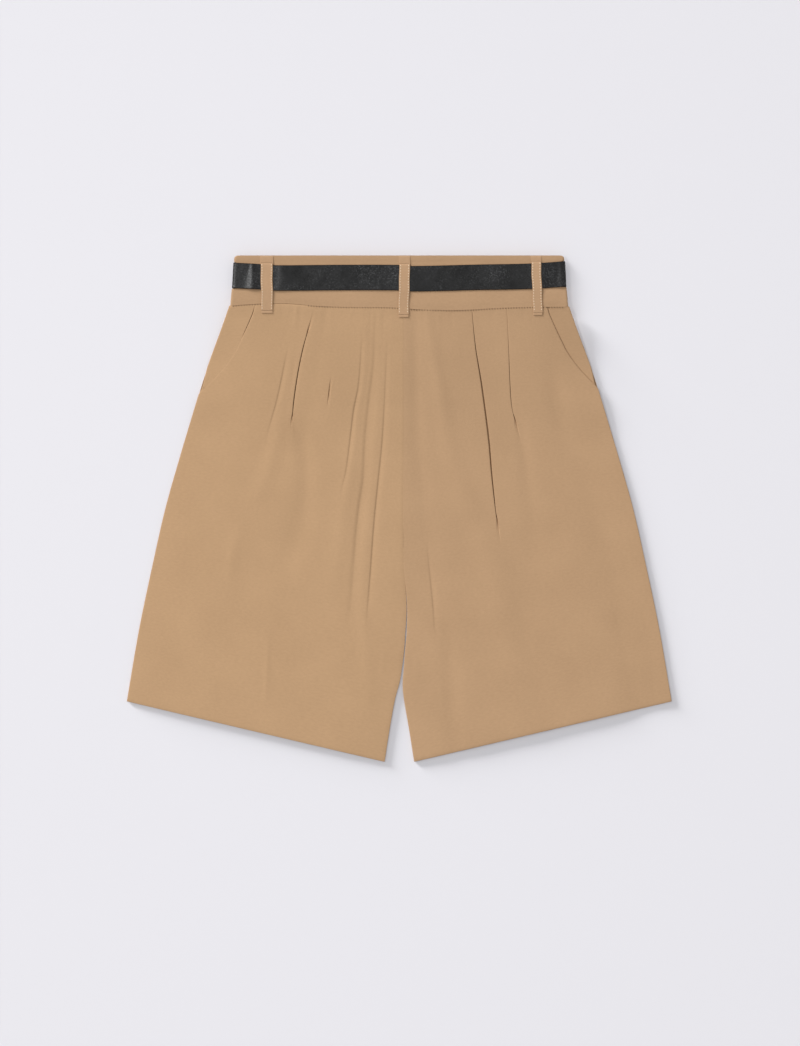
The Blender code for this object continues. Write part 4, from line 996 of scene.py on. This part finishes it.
def arcPoints(centre, radius, start, end, steps):
    a = np.radians(np.linspace(start, end, steps + 1))
    return [(centre[0] + radius * math.cos(t), centre[1] + radius * math.sin(t)) for t in a]


def beltPath():
    # x, level and thickness, from the end that turns round the buckle's bar to the tip
    b = belt
    turn = b["hingeThick"] / 2 + 0.3 + b["skived"] / 2
    barEnd = b["hingeX"] + b["hingeWide"] / 2
    path = [(b["hingeX"] - away, b["hingeLevel"] + turn, b["skived"]) for away in (5, 0)]
    path += [(x, z, b["skived"]) for x, z in arcPoints((barEnd, b["hingeLevel"]), turn, 90, -90, 10)]
    path += [(b["hingeX"] - away, b["hingeLevel"] - turn + up, b["skived"]) for away,
             up in ((2, 0), (6, 0.1))]
    path += [(b["keeperX"] + 10, b["back"] - 0.15, 1.3)]
    path += [(x, b["back"], b["thick"]) for x in (b["keeperX"], -70, -110, -145, -155)]
    centre = b["side"] - b["bend"]
    for sign in (-1, 1):
        quarter = arcPoints((centre, b["back"] + b["bend"]), b["bend"], -90, 0, 7)
        top = frontBeltLevel(sign * 163.0)
        quarter += arcPoints((b["side"] - b["upperBend"], top - b["upperBend"]), b["upperBend"], 0, 82, 8)
        turned = [(sign * x, z, b["thick"] if z < beltMiddle else b["frontThick"]) for x, z in quarter]
        path += turned if sign < 0 else turned[::-1]
        if sign < 0:
            path += [(x, frontBeltLevel(x), b["frontThick"]) for x in np.linspace(-162, 162, 217)]
    path += [(x, b["back"], b["thick"]) for x in (155, 145, 110, 70, b["farBarX"] + 16)]
    path += [(x, b["overFarBar"], b["thick"]) for x in (b["farBarX"] + 5, b["farBarX"] - 4)]
    path += [(x, z, b["thick"]) for x, z in b["tongue"]]
    tip = b["back"] - b["thick"] - 0.3
    path += [(x, tip, b["thick"]) for x in (b["keeperX"], b["keeperX"] - 20)]
    path += [(b["tipX"] + b["tipLong"] * t, tip, b["thick"]) for t in (1, 0.8, 0.6, 0.4, 0.25, 0.12, 0.04, 0)]
    return path


def frontBeltLevel(x):
    # the strap lifts a little off the band between its loops
    return belt["front"] + sum(high * math.exp(-((x - place) / wide) ** 2) for place, wide,
                               high in belt["lifts"])


def makeBelt():
    b = belt
    path = beltPath()
    line = np.array([(x, z) for x, z, _ in path])
    steps = np.diff(line, axis=0)
    steps /= np.linalg.norm(steps, axis=1, keepdims=True)
    run = np.vstack([steps[:1], steps[1:] + steps[:-1], steps[-1:]])
    run /= np.linalg.norm(run, axis=1, keepdims=True)
    normal = np.stack([-run[:, 1], run[:, 0]], axis=1)
    shares = np.array((0.2, 0.4, 0.55, 0.7, 0.84, 0.93, 0.95, 0.985, 1))
    widths = np.concatenate([-shares[::-1], [0], shares])
    upper, lower = [], []
    for i, (x, z, thick) in enumerate(path):
        share = 1.0 if z > beltMiddle else float(ease((abs(x) - 108) / 50))
        middle = b["backY"] + (float(smooth(b["line"]["x"], b["line"]["y"], x)) - b["backY"]) * share
        lean = -b["lean"] * math.copysign(float(ease((abs(x) - 145) / 18)), x) * widths
        taper = 0.0
        if i > len(path) - 9 and x < b["tipX"] + b["tipLong"]:
            taper = (1 - (x - b["tipX"]) / b["tipLong"]) ** 2 * b["tipTaper"]
        y = middle + (b["wide"] / 2 - taper) * widths
        half = thick / 2 - b["edgeThin"] * np.clip((np.abs(widths) - 0.95) / 0.05, 0, 1) ** 2
        nx, nz = normal[i]
        if z > beltMiddle:  # the leather is a little uneven along and across
            z = z + 0.05 * np.sin(x / 4.7 + widths * 2.1) + 0.035 * np.sin(x / 2.6 - widths * 4.3 + 1.0)
            z = z - 0.12 * np.exp(-((widths + 0.2) / 0.5) ** 2) * math.exp(-((x + 112) / 12) ** 2)
            for place, high, wide, grow in b["swells"]:
                reach = (x - place) / wide / (1 - 1.3 * grow * widths)
                z = z + high * (1 - grow * widths) * np.exp(-reach ** 2)
        upper.append(np.stack([x + lean + nx * half, y, z + nz * half], axis=1))
        lower.append(np.stack([x + lean - nx * half, y, z - nz * half], axis=1))
    strap = closeFaces("beltStrap", np.array(upper), np.array(lower))
    editAll(strap, lambda: bpy.ops.mesh.normals_make_consistent(inside=False))
    for low, high, zLow, zHigh in b["slots"]:
        bpy.ops.object.select_all(action="DESELECT")
        bpy.ops.mesh.primitive_cube_add(
            size=1, location=((low + high) / 2 * mm, b["backY"] * mm, (zLow + zHigh) / 2 * mm),
            scale=((high - low) * mm, b["slotWide"] * mm, (zHigh - zLow) * mm),
        )
        cutter = bpy.context.object
        applyModifier(strap, "BOOLEAN", operation="DIFFERENCE", object=cutter, solver="EXACT")
        bpy.data.objects.remove(cutter)
    shadeSmooth(strap, 40)
    dress(strap, blackLeather, "belt_strap")
    strap.data.materials.append(edgePaint)
    for face in strap.data.polygons:  # the painted edge turns a little over the strap's face
        middle = smooth(b["line"]["x"], b["line"]["y"], face.center.x / mm)
        fromMiddle = abs(face.center.y / mm - middle)
        onRim = face.center.z / mm > beltMiddle and fromMiddle > b["wide"] / 2 * b["painted"]
        face.material_index = int(abs(face.normal.y) > 0.5 or onRim)
    return strap


def makeRoundedCopy(node, name, material, width):
    # the plain solid's form with its edges rounded
    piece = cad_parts[node].copy()
    piece.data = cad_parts[node].data.copy()
    for key in list(piece.keys()):
        del piece[key]
    piece.name = name
    piece.data.name = name
    piece.parent = None
    bpy.context.scene.collection.objects.link(piece)
    editAll(piece, lambda: bpy.ops.mesh.remove_doubles(threshold=0.01 * mm),
            lambda: bpy.ops.mesh.dissolve_limited(angle_limit=math.radians(2)))
    roundOff(piece, width, 35)
    shadeSmooth(piece, 40)
    dress(piece, material, node)
    return piece


strap = makeBelt()
makeRoundedCopy("belt_keeper", "beltKeeper", blackLeather, 0.2)
makeRoundedCopy("buckle_frame", "buckleFrame", polishedSteel, 0.35)
makeRoundedCopy("buckle_prong", "buckleProng", polishedSteel, 0.2)
print("belt threaded")


# Belt loops

loopSettings = {
    "thick": 0.62, "round": 0.34, "tailThick": 0.36, "tailRound": 0.15, "room": 0.5, "stitchIn": 1.2,
    "fields": ("node", "top", "foot", "drop", "end", "wide", "tail"),
    "pieces": (
        ("belt_loop_front_left", -132.2, -132.0, 3.9, 6.5, 11.8, 1.5),
        ("belt_loop_front_centre", 5.6, 4.2, 8.0, 10.5, 10.6, 0.8),
        ("belt_loop_front_right", 136.4, 138.4, 6.2, 8.5, 9.6, 0.8),
        ("belt_loop_back_left", -104.0, -104.0, 6.0, 8.0, 10.6, 0.8),
        ("belt_loop_back_right", 104.0, 104.0, 6.0, 8.0, 10.6, 0.8),
    ),
}
seamStitch = {"long": 1.15, "pitch": 2.7, "wide": 1.5, "thick": 0.56}
loopStitch = {"long": 1.5, "pitch": 2.7, "wide": 0.8, "thick": 0.42}
barStitch = {"long": 1.3, "pitch": 1.4, "wide": 0.7, "thick": 0.4}


def resample(path, step):
    path = np.array(path, float)
    run = lengthAlong(path)
    at = np.linspace(0, run[-1], max(int(run[-1] / step), 2) + 1)
    return np.stack([np.interp(at, run, path[:, i]) for i in range(path.shape[1])], axis=1)


def soften(path, times):
    for _ in range(times):
        path[1:-1] = (path[:-2] + 2 * path[1:-1] + path[2:]) / 4
    return path


def loopLine(loop):
    # y and level of the loop's middle, from the fold above the belt to its foot
    s, half = loopSettings, belt["wide"] / 2 + loopSettings["room"]
    leg = rightLeg if loop["foot"] > 0 else leftLeg
    if loop["front"]:
        middle = float(smooth(belt["line"]["x"], belt["line"]["y"], loop["top"]))
        onBand = garment["bandTop"] + band["besideBelt"] + 0.06 + s["thick"] / 2
        over = frontBeltLevel(loop["top"]) + belt["frontThick"] / 2 + 0.1 + s["thick"] / 2
        ends = ((off, at) for off in (-5, 0, 5) for at in (3, loop["end"]))
        face = max(float(clothLevel(leg, abs(loop["foot"]) + off, at)) for off, at in ends)
        foot = face + garment["cloth"] / 2 + 0.05 + s["thick"] / 2
        topZ = onBand + 0.55
    else:
        middle = belt["backY"]
        onBand = garment["bandUnderside"] - 0.12 - s["thick"] / 2
        over = belt["back"] - belt["thick"] / 2 - 0.12 - s["thick"] / 2
        foot = float(backRise(loop["drop"])) - 0.12 - s["thick"] / 2
        topZ = onBand - 0.4
    # it comes down straight from the belt to its foot
    below = onBand if loop["front"] else (onBand + foot) / 2
    path = [(middle + half + 1.2, topZ), (middle + half - 0.3, over), (middle, over),
            (middle - half + 0.5, over), (seamY + 1.0, below), (seamY - loop["drop"], foot)]
    return soften(resample(path, 0.7), 3), foot, onBand, middle + half


def loopWander(loop, y):
    # a loop isn't sewn quite straight
    return 0.16 * np.sin(y / 3.7 + loop["top"]) + 0.12 * np.sin(y / 7.9 + loop["foot"])


def makeStrip(name, loop, line, wide, thick, roundBy, columns=9):
    share = (garment["waistY"] - line[:, 0]) / (garment["bandDeep"] + loop["end"])
    x = loop["top"] + (loop["foot"] - loop["top"]) * share
    offsets = np.linspace(-0.5, 0.5, columns) * wide
    points = np.zeros((len(line), columns, 3))
    points[..., 0] = x[:, None] + offsets + loopWander(loop, line[:, 0])[:, None]
    points[..., 1:] = line[:, None, :]
    strip = laySheet(name, points[::-1])
    thicken(strip, thick, roundBy)
    return strip, x


def makeStitches(name, lines, stitch, thread):
    # one stitch is modelled, and copies of it are laid along each line
    bpy.ops.object.select_all(action="DESELECT")
    bpy.ops.mesh.primitive_uv_sphere_add(segments=8, ring_count=6, radius=0.5)
    model = bpy.context.object
    form = np.array([v.co for v in model.data.vertices])
    faces = sorted(tuple(f.vertices) for f in model.data.polygons)  # the primitive's own order varies
    bpy.data.objects.remove(model)
    size = np.array((stitch["long"], stitch["wide"], stitch["thick"]))
    points, polygons = [], []
    for line in lines:
        run = lengthAlong(line)
        for at in np.arange(stitch["pitch"] / 2, run[-1] - 1.0, stitch["pitch"]):
            place = np.array([np.interp(at, run, line[:, i]) for i in range(3)])
            ahead = np.array([np.interp(at + 0.8, run, line[:, i]) for i in range(3)]) - place
            ahead /= np.linalg.norm(ahead)
            sideways = np.cross((0, 0, 1.0), ahead)
            sideways /= np.linalg.norm(sideways)
            axes = np.stack([ahead, sideways, np.cross(ahead, sideways)])
            first = len(points)
            points += list((form * size) @ axes + place)
            polygons += [tuple(first + i for i in face) for face in faces]
    mesh = bpy.data.meshes.new(name)
    mesh.from_pydata((np.array(points) * mm).tolist(), [], polygons)
    piece = bpy.data.objects.new(name, mesh)
    bpy.context.scene.collection.objects.link(piece)
    selectOnly(piece)
    bpy.ops.object.shade_smooth()
    mesh.materials.append(thread)
    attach(piece, "root")
    return piece


def makeLoop(loop):
    s = loopSettings
    parts = loop["node"].split("_")
    name = parts[0] + "".join(word.title() for word in parts[1:])
    line, foot, onBand, topY = loopLine(loop)
    strip, x = makeStrip(name, loop, line, loop["wide"], s["thick"], s["round"])
    side = 1 if loop["front"] else -1
    low = onBand - side * (s["thick"] - s["tailThick"]) / 2
    rim = garment["waistY"]
    tailLine = resample([(rim - 0.6, low - side * 0.25), (rim - 1.6, low), (topY - 0.6, low)], 0.8)
    thin = s["tailThick"], s["tailRound"]
    tail, _ = makeStrip(name + "Tail", loop, tailLine, loop["wide"] + loop["tail"], *thin)
    heelZ = foot - side * (s["thick"] - s["tailThick"]) / 2
    heelLine = resample([(seamY - loop["drop"] - 0.1, heelZ), (seamY - loop["end"], heelZ)], 0.8)
    heel, _ = makeStrip(name + "Heel", loop, heelLine, loop["wide"] - 0.6, *thin)
    piece = joinPieces([strip, tail, heel], name)
    dress(piece, loopTwill, loop["node"])
    if loop["front"]:
        lines = []
        for edge in (-1, 1):
            across = x + edge * (loop["wide"] / 2 - s["stitchIn"]) + loopWander(loop, line[:, 0])
            lines.append(np.stack([across, line[:, 0], line[:, 1] + s["thick"] / 2], axis=1)[1:-1])
        makeStitches(name + "Stitches", lines, loopStitch, paleThread)
        # a bar of stitches above the belt holds the loop to its tail
        bar = np.linspace(-0.5, 0.5, 5) * (loop["wide"] + 0.6)
        barZ = low + s["tailThick"] / 2 + 0.08
        bar = np.stack([x[0] + bar, np.full(5, topY + 1.4), np.full(5, barZ)], axis=1)
        makeStitches(name + "Bar", [bar], barStitch, seamThreadPaintedShade)
    return piece


for row in loopSettings["pieces"]:
    loop = dict(zip(loopSettings["fields"], row))
    loop["front"] = "front" in loop["node"]
    makeLoop(loop)
print("belt loops sewn on")


# Topstitching along the waist seam

waistStitches = {"from": -167.0, "to": 167.0, "hidden": (-128.0, -92.0), "level": 9.74}


def makeWaistStitches():
    s = waistStitches
    lines = []
    for first, last in ((s["from"], s["hidden"][0]), (s["hidden"][1], s["to"])):
        x = np.arange(first, last, 1.0)
        y = seamY - seamDrop(x) - 0.5
        z = s["level"] - 1.0 * (1 - roundEdge(bandEdge(y) - np.abs(x), 4))
        lines.append(np.stack([x, y, z], axis=1))
    return makeStitches("waistSeamStitches", lines, seamStitch, seamThreadPaintedShade)


makeWaistStitches()
print("waist seam stitched")


# Floor, light and camera

studio = {
    "floor": (0.634, 0.626, 0.6575), "floorPaler": 1.002, "floorWide": 8.0, "floorLevel": -0.1,
    "skyColour": (1.0, 1.0, 1.0), "skyStrength": 0.51,
    "sunWide": 27.0, "sunElevation": 25.0, "sunAzimuth": 132.0, "sunLight": 1.19,  # light on level ground
    "legSunWide": 17.0, "legSunElevation": 9.0, "legSunAzimuth": 139.0, "legSunLight": 1.3,
    "bandSunWide": 26.0, "bandSunElevation": 26.0, "bandSunAzimuth": 139.0, "bandSunLight": 0.72,
    "boxPlace": (-1.15, 0.35, 2.4), "boxWide": 0.36, "boxPower": 12.4,
    "lens": 100.0, "sensor": 36.0, "imageHigh": 1046.0, "imageMiddle": (0.75, -14.0), "plane": 4.0,
}


def makeStudio():
    s = studio
    bpy.ops.object.select_all(action="DESELECT")
    bpy.ops.mesh.primitive_plane_add(size=s["floorWide"], location=(0, 0, s["floorLevel"] * mm))
    floor = bpy.context.object
    floor.name = "floor"
    material, tree, shader, place = startMaterial("paleFloor")
    paler = tuple(c * s["floorPaler"] for c in s["floor"])
    setInputs(tree, shader, {
        "Base Color": mixColour(tree, addNoise(tree, place, 3.0), s["floor"], paler),
        "Roughness": 1.0,
        "Specular IOR Level": 0.0,
    })
    floor.data.materials.append(material)

    world = bpy.data.worlds.new("studioSky")
    bpy.context.scene.world = world
    world.use_nodes = True
    sky = world.node_tree.nodes["Background"]
    sky.inputs["Color"].default_value = (*s["skyColour"], 1)
    sky.inputs["Strength"].default_value = s["skyStrength"]

    # the photo's soft shadow is as long at the thin legs as at the band, so the floor has a sun for each
    floorOnly, notFloor, legParts, bandParts = (
        bpy.data.collections.new(name) for name in ("floorOnly", "notFloor", "legParts", "bandParts"))
    floorOnly.objects.link(floor)
    notFloor.objects.link(floor)
    notFloor.collection_objects[0].light_linking.link_state = "EXCLUDE"
    for piece in (*fronts.values(), *hipPieces.values(), *backs.values()):
        legParts.objects.link(piece)
    for piece in (bandFront, bandBackLeft, bandBackRight, strap):
        bandParts.objects.link(piece)
    suns = (("sun", notFloor, None), ("legSun", floorOnly, legParts), ("bandSun", floorOnly, bandParts))
    for name, lit, shading in suns:
        elevation = math.radians(s[name + "Elevation"])
        bpy.ops.object.light_add(type="SUN", location=(-1, 1, 1))
        sun = bpy.context.object
        sun.data.energy = s[name + "Light"] / math.sin(elevation)
        sun.data.angle = math.radians(s[name + "Wide"])
        sun.rotation_euler = (0, math.pi / 2 - elevation, math.radians(s[name + "Azimuth"]))
        sun.light_linking.receiver_collection = lit
        if shading:
            sun.light_linking.blocker_collection = shading

    bpy.ops.object.light_add(type="AREA", location=s["boxPlace"])
    box = bpy.context.object
    box.data.size = s["boxWide"]
    box.data.energy = s["boxPower"]
    box.rotation_euler = (-box.location).to_track_quat("-Z", "Y").to_euler()

    bpy.ops.object.camera_add(location=(
        s["imageMiddle"][0] * mm, s["imageMiddle"][1] * mm,
        (s["plane"] + s["imageHigh"] * s["lens"] / s["sensor"]) * mm,
    ), rotation=(0, 0, 0))
    camera = bpy.context.object
    camera.data.lens = s["lens"]
    camera.data.sensor_width = s["sensor"]
    camera.data.clip_end = 20
    bpy.context.scene.camera = camera
    bpy.context.scene.view_settings.view_transform = "Standard"


makeStudio()
print("studio lit")
